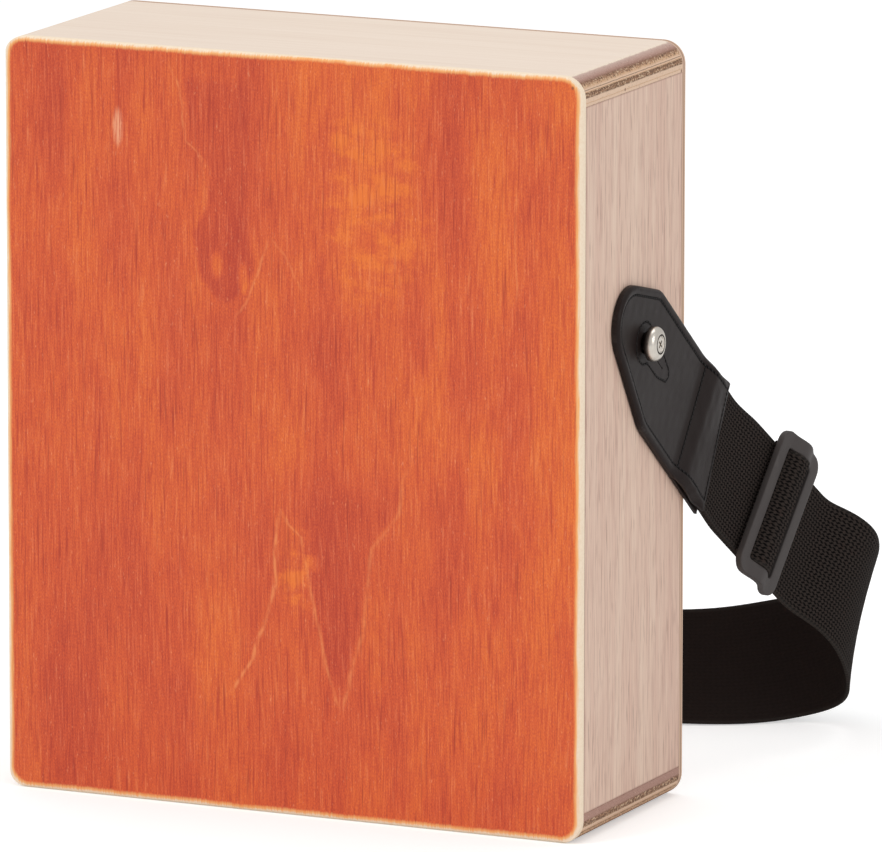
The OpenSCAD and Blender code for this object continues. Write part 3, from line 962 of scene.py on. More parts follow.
@dataclass(frozen=True)
class PaleFloor(Finish):
    """Plain white floor that reads as paper in the camera and keeps a soft shadow."""

    white: float = 0.90
    lift: float = 0.36

    def draw(self, bench: Bench) -> None:
        """Draws a diffuse floor, lifted a little for camera rays only.

        Args:
            bench: the material's node tree.
        """
        flat = bench.node("ShaderNodeBsdfDiffuse", None, {"Color": (self.white,) * 3})
        glow = bench.node("ShaderNodeEmission", None, {"Color": (1.0, 1.0, 1.0), "Strength": self.lift})
        both = bench.node("ShaderNodeAddShader", None, {0: flat, 1: glow})
        seen = bench.node("ShaderNodeLightPath", out="Is Camera Ray")
        mixed = bench.node("ShaderNodeMixShader", None, {0: seen, 1: flat, 2: both})
        bench.node("ShaderNodeOutputMaterial", None, {"Surface": mixed})


# ---------------------------------------------------------------- mesh helpers


def to_object(
    mesh: bmesh.types.BMesh, name: str, finish: bpy.types.Material, smooth: bool = True
) -> bpy.types.Object:
    """Turns a bmesh into an object at the origin.

    Args:
        mesh: the finished bmesh, which is freed.
        name: the piece's name.
        finish: its material.
        smooth: whether it is shaded smooth.

    Returns:
        The new object.
    """
    for face in mesh.faces:
        face.smooth = smooth
    data = to_mesh(mesh, name)
    data.materials.append(finish)
    piece = bpy.data.objects.new(name, data)
    bpy.context.scene.collection.objects.link(piece)
    return piece


def settle(piece: bpy.types.Object, body: Body, slot: str, *nodes: str) -> bpy.types.Object:
    """Lets a piece ride on a body, hides the CAD nodes that it replaces, and reports it.

    Args:
        piece: the finished piece.
        body: the body that it moves with.
        slot: the material slot that it takes its finish from; not used.
        *nodes: the CAD nodes that it replaces.

    Returns:
        The piece.
    """
    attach(piece, body.value)
    if nodes:
        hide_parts(*nodes)
    LOG.info("%s rides on %s, %d faces", piece.name, body.value, len(piece.data.polygons))
    return piece


def round_edges(piece: bpy.types.Object, width: float, segments: int = 2, angle: float = 50.0) -> None:
    """Adds a Bevel modifier on the sharp edges.

    Args:
        piece: the piece.
        width: the bevel's width in metres.
        segments: its segments.
        angle: the turn in degrees from which an edge counts as sharp.
    """
    bevel = piece.modifiers.new("rounding", "BEVEL")
    bevel.width = width
    bevel.segments = segments
    bevel.limit_method = "ANGLE"
    bevel.angle_limit = math.radians(angle)


def new_verts(made: dict) -> list[bmesh.types.BMVert]:
    """The vertices among what an extrusion made."""
    return [part for part in made["geom"] if isinstance(part, bmesh.types.BMVert)]


def to_mesh(mesh: bmesh.types.BMesh, name: str) -> bpy.types.Mesh:
    """Turns a bmesh into a mesh that is copied several times.

    Args:
        mesh: the bmesh, which is freed.
        name: the mesh's name.

    Returns:
        The mesh.
    """
    data = bpy.data.meshes.new(name)
    mesh.to_mesh(data)
    mesh.free()
    return data


def tab_matrix() -> Matrix:
    """The right tab's frame: X runs along the tab, Y across it and Z out from the side panel.

    Returns:
        The frame, with its origin on the button.
    """
    along = Vector((0, math.cos(TAB_SLOPE), -math.sin(TAB_SLOPE)))
    across = Vector((0, math.sin(TAB_SLOPE), math.cos(TAB_SLOPE)))
    frame = Matrix((along, across, Vector((1, 0, 0)))).transposed().to_4x4()
    return Matrix.Translation(BUTTON) @ frame


def mirror_left(mesh: bmesh.types.BMesh, side: Side) -> None:
    """Mirrors a mesh that was made for the right side, if it belongs to the left.

    Args:
        mesh: the mesh in its place on the right.
        side: the side that it belongs to.
    """
    if side is Side.LEFT:
        bmesh.ops.scale(mesh, vec=(-1, 1, 1), verts=mesh.verts)
        bmesh.ops.reverse_faces(mesh, faces=mesh.faces)


def place_on_side(mesh: bmesh.types.BMesh, side: Side) -> None:
    """Moves a mesh from the tab's frame, in millimetres, into place on its side."""
    bmesh.ops.transform(mesh, matrix=tab_matrix() @ Matrix.Scale(MM, 4), verts=mesh.verts)
    mirror_left(mesh, side)


# ---------------------------------------------------------------- strap


@dataclass
class StrapPath:
    """The strap's middle line: along the tab, a flared straight run and the loop behind the drum.

    The stops and the starts are in millimetres, and the points that come of them are in metres.
    """

    tab_drop: float = 2.0
    strap_start: float = 65.5
    run_start: float = 94.5
    start_count: int = 5
    run_stops: tuple[float, ...] = (4, 12, 20, 30, 42, 63, 75, 85)
    run_turns: tuple[float, ...] = (0.3, 1, 1, 1, 1, 1, 1, 1)
    bends: tuple[tuple[float, ...], ...] = (
        (32, 108, 69, 12, 24),
        (14, 153, 33, 0, 18),
        (-18, 153, 24, 0, 20),
        (-46, 121, 21, 0, 38),
    )
    points: list[Vector] = field(init=False)
    ways: list[Vector] = field(init=False)
    held: int = field(init=False)

    def __post_init__(self) -> None:
        """Works out the control points of the whole strap, right end first.

        The bends' rows hold how far a point lies out from the side, back from the box's back and up,
        in millimetres, and how far the webbing's width is tilted out and leans back there, in degrees.
        """
        step = (self.run_start - self.strap_start) / (self.start_count - 0.5)
        starts = [self.tab_point(self.strap_start + i * step) for i in range(-1, self.start_count)]
        held = starts + [self.run_point(stop) for stop in self.run_stops]
        self.held = len(starts)
        corner = Vector((BODY_W / 2, BODY_D / 2, 0))
        half = held + [corner + Vector((out, back, up)) * MM for out, back, up, _, _ in self.bends]
        slope = math.degrees(TAB_SLOPE)
        half_ways = [self.width_way(0, slope) for _ in starts]
        half_ways += [self.width_way(math.degrees(STRAP_TWIST) * turn, slope) for turn in self.run_turns]
        half_ways += [self.width_way(tilt, lean) for *_, tilt, lean in self.bends]
        self.points = half + [Vector((-p.x, p.y, p.z)) for p in reversed(half)]
        self.ways = half_ways + [Vector((-w.x, w.y, w.z)) for w in reversed(half_ways)]

    def tab_point(self, at: float) -> Vector:
        """A point on the tab's line, a distance in millimetres from the button."""
        return tab_matrix() @ Vector((at * MM, -self.tab_drop * MM, STRAP_MID))

    def run_point(self, at: float) -> Vector:
        """A point on the straight run, a distance in millimetres from its start."""
        return self.run_matrix() @ Vector((at * MM, 0, 0))

    def run_matrix(self) -> Matrix:
        """The straight run's frame.

        Returns:
            The tab's directions turned out by the flare, with the origin where the run starts.
        """
        start = Matrix.Translation((self.run_start * MM, -self.tab_drop * MM, STRAP_MID))
        twist = math.atan(math.tan(STRAP_TWIST) * math.cos(STRAP_FLARE))
        return tab_matrix() @ start @ Matrix.Rotation(-STRAP_FLARE, 4, "Y") @ Matrix.Rotation(twist, 4, "X")

    @staticmethod
    def width_way(tilt: float, lean: float) -> Vector:
        """The direction of the webbing's width, for a tilt and a lean in degrees."""
        a, b = math.radians(tilt), math.radians(lean)
        return Vector((math.sin(a), math.cos(a) * math.sin(b), math.cos(a) * math.cos(b)))

    @staticmethod
    def _spline(rows: list[Vector], i: int, t: float) -> Vector:
        """A point of the uniform cubic spline.

        Args:
            rows: the control points or control directions.
            i: the span, counted by its first control point.
            t: the share of the span.

        Returns:
            The point.
        """
        a, b, c, d = rows[i : i + 4]
        inner = (3 * t**3 - 6 * t**2 + 4) * b + (-3 * t**3 + 3 * t**2 + 3 * t + 1) * c
        return ((1 - t) ** 3 * a + inner + t**3 * d) / 6

    @staticmethod
    def _slope(rows: list[Vector], i: int, t: float) -> Vector:
        """The spline's direction."""
        a, b, c, d = rows[i : i + 4]
        return (-((1 - t) ** 2) * a + (3 * t**2 - 4 * t) * b + (-3 * t**2 + 2 * t + 1) * c + t**2 * d) / 2

    def stations(self, count: int, steps: int) -> list[Place]:
        """Places along the first control points.

        Args:
            count: how many control points are used.
            steps: places in each span.

        Returns:
            For each place its middle, its width direction, its outward direction and its distance.
        """
        places = []
        run = 0.0
        for k in range((count - 3) * steps + 1):
            i, t = divmod(k, steps)
            if i == count - 3:
                i, t = i - 1, steps
            middle = self._spline(self.points, i, t / steps)
            along = self._slope(self.points, i, t / steps).normalized()
            way = self._spline(self.ways, i, t / steps)
            across = (way - way.dot(along) * along).normalized()
            if places:
                run += (middle - places[-1][0]).length
            places.append((middle, across, along.cross(across), run))
        return places


def ribbon(
    places: list[Place],
    shift: float = 0.0,
    side: Side = Side.RIGHT,
    columns: int = 16,
    crown: float = 0.12 * MM,
) -> bmesh.types.BMesh:
    """Webbing along a row of places, with its map in metres.

    Args:
        places: middles, width directions, outward directions and distances.
        shift: how far the layer lies outwards from the middle line.
        side: the left side mirrors the layer.
        columns: cells across the width.
        crown: how much higher its middle is than its edges.

    Returns:
        The closed layer.
    """
    mesh = bmesh.new()
    rows = len(places) - 1
    bmesh.ops.create_grid(mesh, x_segments=rows, y_segments=columns, size=1.0)
    chart = mesh.loops.layers.uv.new(WEAVE_UV)
    spots = {}
    for vert in mesh.verts:
        index = round((vert.co.x + 1) / 2 * rows)
        share = vert.co.y
        middle, across, out, run = places[index]
        spots[vert] = (share * STRAP_W / 2, run)
        vert.co = middle + across * share * STRAP_W / 2 + out * (shift - STRAP_T / 2 + (1 - share**4) * crown)
    inner = mesh.faces[:]
    for face in inner:
        for loop in face.loops:
            loop[chart].uv = spots[loop.vert]
    bmesh.ops.recalc_face_normals(mesh, faces=inner)
    if inner[0].normal.dot(places[0][2]) > 0:
        bmesh.ops.reverse_faces(mesh, faces=inner)
    bmesh.ops.solidify(mesh, geom=inner, thickness=STRAP_T)
    for face in inner:
        for loop in face.loops:
            loop[chart].uv.x += INNER_FACE
    mirror_left(mesh, side)
    return mesh


@dataclass
class Strap:
    """The webbing with its two sewn or looped ends."""

    path: StrapPath
    finish: bpy.types.Material
    steps: int = 12
    return_stops: tuple[int, int] = (7, 1)

    def build(self) -> None:
        """Makes the long run and the two return layers."""
        whole = self.path.stations(len(self.path.points), self.steps)
        LOG.info("webbing from sleeve to sleeve: %.1f mm", whole[-1][3] / MM)
        self._layer("webbing_loop", whole, 0.0, Side.RIGHT, "strap_webbing")
        back = -(STRAP_T + LAYER_GAP)
        for side, stops in zip(Side, self.return_stops):
            places = self.path.stations(self.path.held + stops, self.steps)
            self._layer(f"webbing_return_{side.word}", places, back, side, f"strap_return_{side.word}")

    def _layer(self, name: str, places: list[Place], shift: float, side: Side, node: str) -> None:
        """Makes one layer and lets it stand for its node.

        Args:
            name: the piece's name.
            places: where it runs.
            shift: how far it lies outwards from the middle line.
            side: the side that it belongs to.
            node: the CAD node that it replaces.
        """
        piece = to_object(ribbon(places, shift, side=side), name, self.finish)
        round_edges(piece, 0.45 * MM, 2, 60)
        settle(piece, Body.STRAP, "strap_fabric", node)


# ---------------------------------------------------------------- slider


@dataclass
class Slider:
    """The moulded three-bar slider and the webbing that dips through it, in millimetres."""

    path: StrapPath
    plastic: bpy.types.Material
    fabric: bpy.types.Material
    length: float = 31.5
    width: float = 63.5
    bar: float = 6.0
    centre_bar_w: float = 4.0
    centre_bar_t: float = 2.4
    centre_bar_inset: float = 1.2
    thick: float = 3.0
    corner: float = 6.0
    window_corner: float = 1.6
    rail_rise: float = 3.0
    at: float = 45.0
    gap: float = 0.3
    fold_rise: float = 6.4
    fold_inset: float = 0.5
    fold_ramp: float = 7.5
    fold_end: float = 1.0
    fold_steps: int = 56
    fold_spread: float = 1.011
    layer_gap: float = LAYER_GAP / MM
    strap_t: float = STRAP_T / MM
    ring_steps: int = 112

    @property
    def fold_under(self) -> float:
        """Height of the dipped webbing's underside over the strap's middle."""
        return self.strap_t / 2 + self.gap

    @property
    def bar_under(self) -> float:
        """Height of the outer bars' underside."""
        return self.fold_under + self.strap_t + self.layer_gap

    @property
    def window_l(self) -> float:
        """Length of the opening between the outer bars."""
        return self.length - 2 * self.bar

    def fold_height(self, at: float) -> float:
        """How far the dipped webbing has risen.

        Args:
            at: the distance from the slider's middle.

        Returns:
            The rise.
        """
        crest = self.length / 2 - self.bar - self.fold_inset
        share = min(max((crest - abs(at)) / self.fold_ramp, 0.0), 1.0)
        return self.fold_rise * (1 - math.cos(math.pi * share)) / 2

    def rail_height(self, at: float) -> float:
        """How far the ends have arched out.

        Args:
            at: the distance from the slider's middle.

        Returns:
            The rise.
        """
        if abs(at) >= self.window_l / 2:
            return 0.0
        return self.rail_rise * (1 + math.cos(2 * math.pi * at / self.window_l)) / 2

    def frame(self) -> Matrix:
        """The slider's place on the run."""
        return self.path.run_matrix() @ Matrix.Translation((self.at * MM, 0, 0)) @ Matrix.Scale(MM, 4)

    @staticmethod
    def _round_rect(share: float, w: float, h: float, r: float) -> tuple[float, float]:
        """A point on a rounded rectangle round the origin.

        Args:
            share: how far round it lies, from the foot of the right side, anticlockwise.
            w: the width.
            h: the height.
            r: the corners' radius.

        Returns:
            Its x and y.
        """
        arc = math.pi * r / 2
        left = share * (2 * (w + h) - 8 * r + 4 * arc)
        for quarter, side in enumerate((h, w, h, w)):
            half, reach = side / 2 - r, (w + h - side) / 2
            if left <= 2 * half + arc:
                break
            left -= 2 * half + arc
        turn = max(left - 2 * half, 0.0) / r
        x = reach - r + r * math.cos(turn)
        y = min(left, 2 * half) - half + r * math.sin(turn)
        return ((x, y), (-y, x), (-x, -y), (y, -x))[quarter]

    def build(self) -> None:
        """Makes the frame and the fold."""
        self._build_frame()
        self._build_fold()

    def _build_frame(self) -> None:
        """A ring bridged between two rounded outlines, arched at its ends, with the centre bar."""
        mesh = bmesh.new()
        window_w = STRAP_W / MM + 2 * self.gap
        outlines = ((self.length, self.width, self.corner), (self.window_l, window_w, self.window_corner))
        loops = []
        for w, h, r in outlines:
            made = bmesh.ops.create_circle(mesh, segments=self.ring_steps, radius=1.0)["verts"]
            made.sort(key=lambda v: math.atan2(v.co.y, v.co.x) % (2 * math.pi))
            for k, vert in enumerate(made):
                x, y = self._round_rect(k / self.ring_steps, w, h, r)
                vert.co = (x, y, self.bar_under)
            loops += list({e for v in made for e in v.link_edges})
        bmesh.ops.bridge_loops(mesh, edges=loops)
        bmesh.ops.subdivide_edges(
            mesh, edges=[e for e in mesh.edges if not e.is_boundary], cuts=2, use_grid_fill=True
        )
        risen = new_verts(bmesh.ops.extrude_face_region(mesh, geom=mesh.faces[:]))
        bmesh.ops.translate(mesh, vec=(0, 0, self.thick), verts=risen)
        for vert in mesh.verts:
            vert.co.z += self.rail_height(vert.co.x)
        bmesh.ops.recalc_face_normals(mesh, faces=mesh.faces)
        self._add_centre_bar(mesh)
        bmesh.ops.transform(mesh, matrix=self.frame(), verts=mesh.verts)
        piece = to_object(mesh, "slider_moulding", self.plastic)
        round_edges(piece, 0.5 * MM, 3, 40)
        settle(piece, Body.SLIDER, "slider_plastic", "slider_frame")

    def _add_centre_bar(self, mesh: bmesh.types.BMesh) -> None:
        """Adds the bar that the webbing goes over, with its ends in the arches.

        Args:
            mesh: the moulding, which lies along X.
        """
        top = self.fold_under + self.fold_height(self.centre_bar_w / 2) - 2 * self.layer_gap
        under = top - self.centre_bar_t
        middle = Matrix.Translation((0, 0, (top + under) / 2))
        length = self.width - 2 * self.centre_bar_inset
        size = Matrix.Diagonal((self.centre_bar_w, length, self.centre_bar_t, 1))
        bmesh.ops.create_cube(mesh, size=1.0, matrix=middle @ size)

    def _build_fold(self) -> None:
        """The webbing over the centre bar, thick and mapped like the rest of the strap."""
        half = self.length / 2 - self.fold_end
        frame = self.frame()
        turn = frame.to_3x3().normalized()
        across, out = turn @ Vector((0, self.fold_spread, 0)), turn @ Vector((0, 0, 1))
        places = []
        run = 0.0
        for k in range(self.fold_steps + 1):
            at = -half + 2 * half * k / self.fold_steps
            height = self.fold_under + self.strap_t / 2 + self.fold_height(at)
            middle = frame @ Vector((at, 0, height))
            if places:
                run += (middle - places[-1][0]).length
            places.append((middle, across, out, run))
        piece = to_object(ribbon(places), "webbing_fold", self.fabric)
        round_edges(piece, 0.4 * MM, 2, 60)
        settle(piece, Body.SLIDER, "strap_fabric", "slider_fold")


# ---------------------------------------------------------------- leather tabs


@dataclass
class LeatherTab:
    """Two sewn layers of leather that hang on a strap button and hold the webbing, in millimetres."""

    side: Side
    leather: bpy.types.Material
    thread: bpy.types.Material
    width: float = 53.0
    drop: float = 2.0
    length: float = 84.0
    tip: float = 30.0
    tip_r: float = 16.0
    upper_r: float = 12.5
    upper_at: float = 4.0
    lower_r: float = 20.0
    lower_at: float = 23.0
    slant: float = 9.0
    inner_reach: float = 3.0
    layer: float = 1.25
    gap: float = 0.4
    seam: float = 58.5
    rise_before: float = 5.0
    rise_run: float = 12.5
    sleeve_under: float = 4.8
    shoulder: float = 0.34
    shoulder_w: float = 2.4
    lip: float = 9.0
    hole_r: float = 4.4
    slit: float = 21.0
    slit_w: float = 0.35
    slit_end_r: float = 0.5
    cell: float = 0.8
    seam_inset: float = 3.7
    seam_reach: float = 4.0
    stitch: float = 2.2
    seam_back: float = 0.6
    end_inset: float = 2.8
    hole_seam_r: float = 8.4
    border_puff: float = 0.55
    border_w: float = 1.75
    sleeve_puff: float = 0.6
    rim_drop: float = 0.62
    rim_w: float = 1.0
    end_drop: float = 0.30
    end_w: float = 0.9
    ripple: float = 0.05

    @property
    def inner_top(self) -> float:
        """Height of the inner layer's face."""
        return self.gap + self.layer

    def outline(self, inset: float, extra: float = 0.0) -> Line:
        """The tab's outline, moved in by a distance.

        Args:
            inset: the distance.
            extra: added length at the lower edge.

        Returns:
            Points in millimetres, anticlockwise from the upper end corner.
        """
        top = self.width / 2 - self.drop
        bottom = -self.width / 2 - self.drop
        circles = [
            (self.upper_at, top - self.upper_r, self.upper_r - inset),
            (self.tip_r - self.tip, 0.0, self.tip_r - inset),
            (self.lower_at, bottom + self.lower_r, self.lower_r - inset),
        ]
        turns = [math.pi / 2]
        for (ax, ay, ar), (bx, by, br) in zip(circles, circles[1:]):
            way = math.atan2(by - ay, bx - ax)
            turns.append(way - math.pi / 2 + math.asin((ar - br) / math.hypot(bx - ax, by - ay)))
        turns = [t % (2 * math.pi) for t in turns] + [3 * math.pi / 2]
        points = []
        for (x, y, r), start, end in zip(circles, turns, turns[1:]):
            points += self._arc(x, y, r, start, end, max(3, int(r * (end - start))))
        low_end = self.length + self.slant / 2 + extra - inset
        high_end = self.length - self.slant / 2 - inset
        points.append((low_end, bottom + inset))
        points.append((high_end, top - inset))
        return points

    @staticmethod
    def _arc(x: float, y: float, r: float, start: float, end: float, steps: int) -> Line:
        """An arc's points.

        Args:
            x: the middle's x.
            y: the middle's y.
            r: the radius.
            start: the first angle.
            end: the last angle.
            steps: into how many parts it is cut.

        Returns:
            Its points, the first and the last among them.
        """
        turns = [start + (end - start) * k / steps for k in range(steps + 1)]
        return [(x + r * math.cos(turn), y + r * math.sin(turn)) for turn in turns]

    def surface(self, a: np.ndarray, n: np.ndarray, rim: np.ndarray) -> np.ndarray:
        """Height of the outer layer's face.

        Args:
            a: distances along the tab.
            n: distances across it.
            rim: distances inside the outline.

        Returns:
            The heights in millimetres.
        """
        lift = self._ease((a - self.seam + self.rise_before) / self.rise_run)
        shoulder = self.shoulder + (1 - self.shoulder) * self._ease(rim / self.shoulder_w)
        end = self.length - self.slant * n / self.width - a
        lip = self._ease(end / self.lip)
        full = np.where(end < self.lip, 1 - (1 - shoulder) * lip, shoulder)
        crown = (self.sleeve_under - self.inner_top) * full
        along = np.clip((a - self.seam) / (self.length - self.seam), 0, 1)
        crown += self.sleeve_puff * np.sin(np.pi * along) ** 2
        height = self.inner_top + self.layer + lift * crown
        flat = 1 - 0.75 * lift
        height += self.border_puff * np.clip(1 - (rim / self.border_w - 1) ** 2, 0, 1) * flat
        height -= self.rim_drop * np.clip(1 - rim / self.rim_w, 0, 1) ** 2 * flat
        height -= self.end_drop * np.clip(1 - end / self.end_w, 0, 1) ** 2
        ripple = np.sin(a * 0.9 + n * 0.23) * np.sin(n * 0.31 - a * 0.17) * self.ripple
        return height + ripple * (0.4 + lift)

    @staticmethod
    def _ease(share: np.ndarray) -> np.ndarray:
        """A smooth step from 0 to 1."""
        held = np.clip(share, 0, 1)
        return held * held * (3 - 2 * held)

    @staticmethod
    def rim_distance(points: np.ndarray, line: Line, closed: bool = True) -> np.ndarray:
        """Distance from each point to a line.

        Args:
            points: the points.
            line: the line's corners.
            closed: whether the last corner joins the first.

        Returns:
            The distances.
        """
        ring = np.array(line)
        start, end = (ring, np.roll(ring, -1, axis=0)) if closed else (ring[:-1], ring[1:])
        way = end - start
        size = np.maximum((way * way).sum(1), 1e-12)
        share = ((points[:, None, :] - start) * way).sum(2) / size
        near = start + np.clip(share, 0, 1)[..., None] * way
        return np.sqrt(((points[:, None, :] - near) ** 2).sum(2)).min(1)

    def seam_share(self, points: np.ndarray) -> np.ndarray:
        """How near each point is to a seam: 1 on it, 0 from the seam's reach away."""
        rows = [self.rim_distance(points, line, closed=False) for line in self._seam_lines()]
        return np.clip(1 - np.min(rows, axis=0) / self.seam_reach, 0, 1)

    def _sheet(self, extra: float) -> bmesh.types.BMesh:
        """A flat sheet with the outline and the keyhole, cut into a fine grid.

        Args:
            extra: added length at the lower edge.

        Returns:
            The sheet, which faces up.
        """
        mesh = bmesh.new()
        for ring in (self.outline(0.0, extra), self._keyhole()):
            verts = [mesh.verts.new((x, y, 0)) for x, y in ring]
            for first, second in zip(verts, verts[1:] + verts[:1]):
                mesh.edges.new((first, second))
        bmesh.ops.triangle_fill(mesh, use_beauty=True, edges=mesh.edges[:], normal=(0, 0, 1))
        low_x, high_x = -self.tip, self.length + self.slant / 2 + extra
        columns = range(int(low_x / self.cell), int(high_x / self.cell) + 1)
        half = int((self.width / 2 + self.drop) / self.cell) + 1
        cuts = [((k * self.cell, 0, 0), (1, 0, 0)) for k in columns]
        cuts += [((0, k * self.cell, 0), (0, 1, 0)) for k in range(-half, half)]
        for spot, normal in cuts:
            parts = mesh.verts[:] + mesh.edges[:] + mesh.faces[:]
            bmesh.ops.bisect_plane(mesh, geom=parts, dist=1e-5, plane_co=spot, plane_no=normal)
        bmesh.ops.recalc_face_normals(mesh, faces=mesh.faces)
        if mesh.faces[:][0].normal.z < 0:
            bmesh.ops.reverse_faces(mesh, faces=mesh.faces)
        return mesh

    def _keyhole(self) -> Line:
        """The button hole with its slit and the slit's round end.

        Returns:
            The points of its rim.
        """
        neck = math.asin(self.slit_w / 2 / self.hole_r)
        tail = math.asin(self.slit_w / 2 / self.slit_end_r)
        hole = self._arc(0, 0, self.hole_r, neck, 2 * math.pi - neck, 40)
        return hole + self._arc(self.slit, 0, self.slit_end_r, tail - math.pi, math.pi - tail, 20)

    def build(self) -> None:
        """Makes both layers and the seams."""
        self._build_outer()
        self._build_inner()
        self._build_seams()

    def _build_outer(self) -> None:
        """The outer layer, raised over the webbing behind its seam."""
        mesh = self._sheet(0.0)
        mesh.verts.ensure_lookup_table()
        spots = np.array([(v.co.x, v.co.y) for v in mesh.verts])
        rim = self.rim_distance(spots, self.outline(0.0))
        heights = self.surface(spots[:, 0], spots[:, 1], rim)
        mark = mesh.verts.layers.float.new(SEAM_MARK)
        for vert, share in zip(mesh.verts, self.seam_share(spots)):
            vert[mark] = float(share)
        top = mesh.verts[:]
        risen = new_verts(bmesh.ops.extrude_face_region(mesh, geom=mesh.faces[:]))
        lookup = {(round(v.co.x, 4), round(v.co.y, 4)): h for v, h in zip(top, heights)}
        for vert in risen:
            vert.co.z = lookup[(round(vert.co.x, 4), round(vert.co.y, 4))]
        for vert in top:
            height = lookup[(round(vert.co.x, 4), round(vert.co.y, 4))]
            vert.co.z = max(height - self.layer, self.inner_top + 0.02)
        bmesh.ops.recalc_face_normals(mesh, faces=mesh.faces)
        self._finish_layer(mesh, "outer")

    def _build_inner(self) -> None:
        """The flat inner layer."""
        mesh = self._sheet(self.inner_reach)
        risen = new_verts(bmesh.ops.extrude_face_region(mesh, geom=mesh.faces[:]))
        bmesh.ops.translate(mesh, vec=(0, 0, self.inner_top), verts=mesh.verts)
        bmesh.ops.translate(mesh, vec=(0, 0, -self.layer), verts=risen)
        bmesh.ops.recalc_face_normals(mesh, faces=mesh.faces)
        self._finish_layer(mesh, "inner")

    def _finish_layer(self, mesh: bmesh.types.BMesh, layer: str) -> None:
        """Moves a layer into place and lets it stand for its node.

        Args:
            mesh: the layer in the tab's frame.
            layer: its word, outer or inner.
        """
        place_on_side(mesh, self.side)
        piece = to_object(mesh, f"leather_{layer}_{self.side.word}", self.leather)
        round_edges(piece, 0.35 * MM, 2, 55)
        settle(piece, Body.STRAP, "tab_leather", f"tab_{layer}_{self.side.word}")

    def _seam_lines(self) -> list[Line]:
        """The rows that the thread follows.

        Returns:
            The border, the seam across, the sleeve's end and the row round the keyhole.
        """
        border = self.outline(self.seam_inset)
        low_end, high_end = border[-2], border[-1]
        border = [high_end] + border[:-2] + [low_end]
        top = self.width / 2 - self.drop - self.seam_inset
        bottom = -self.width / 2 - self.drop + self.seam_inset
        cross = [(self.seam - self.seam_back, at) for at in (top, bottom)]
        end = self.length - self.end_inset
        fold = [(end - self.slant * n / self.width, n) for n in (top + 1.5, bottom)]
        lobe = self._arc(0, 0, self.hole_seam_r, math.radians(38), math.radians(320), 47)
        tail = [(19.0, -5.2), (27.5, -2.6), (29.0, 0.0), (27.5, 2.6), (19.0, 5.2)]
        return [border, cross, fold, lobe + tail + lobe[:1]]

    def _bead(self) -> bpy.types.Mesh:
        """One stitch, a flat grain that lies along X.

        Returns:
            Its mesh, in millimetres.
        """
        mesh = bmesh.new()
        size = Matrix.Diagonal((self.stitch * 0.42, 0.36, 0.26, 1))
        bmesh.ops.create_uvsphere(mesh, u_segments=8, v_segments=6, radius=1.0, matrix=size)
        return to_mesh(mesh, "bead")

    def _build_seams(self) -> None:
        """Rows of stitches that sink a little into the leather."""
        mesh = bmesh.new()
        bead = self._bead()
        steps = [step for line in self._seam_lines() for step in self._walk(line)]
        spots = np.array([spot for spot, _ in steps])
        heights = self.surface(spots[:, 0], spots[:, 1], self.rim_distance(spots, self.outline(0.0)))
        for ((x, y), turn), height in zip(steps, heights):
            place = Matrix.Translation((x, y, float(height) + 0.02)) @ Matrix.Rotation(turn, 4, "Z")
            stitch = bead.copy()
            stitch.transform(place)
            mesh.from_mesh(stitch)
            bpy.data.meshes.remove(stitch)
        place_on_side(mesh, self.side)
        piece = to_object(mesh, f"thread_{self.side.word}", self.thread)
        settle(piece, Body.STRAP, "tab_leather")

    def _walk(self, line: Line) -> Iterable[tuple[tuple[float, float], float]]:
        """Even steps along a row.

        Args:
            line: the row's corners.

        Yields:
            The spot of each stitch and its direction.
        """
        left = self.stitch / 2
        for (ax, ay), (bx, by) in zip(line, line[1:]):
            size = math.hypot(bx - ax, by - ay)
            while left < size:
                share = left / size
                yield (ax + (bx - ax) * share, ay + (by - ay) * share), math.atan2(by - ay, bx - ax)
                left += self.stitch
            left -= size


# ---------------------------------------------------------------- buttons and snares


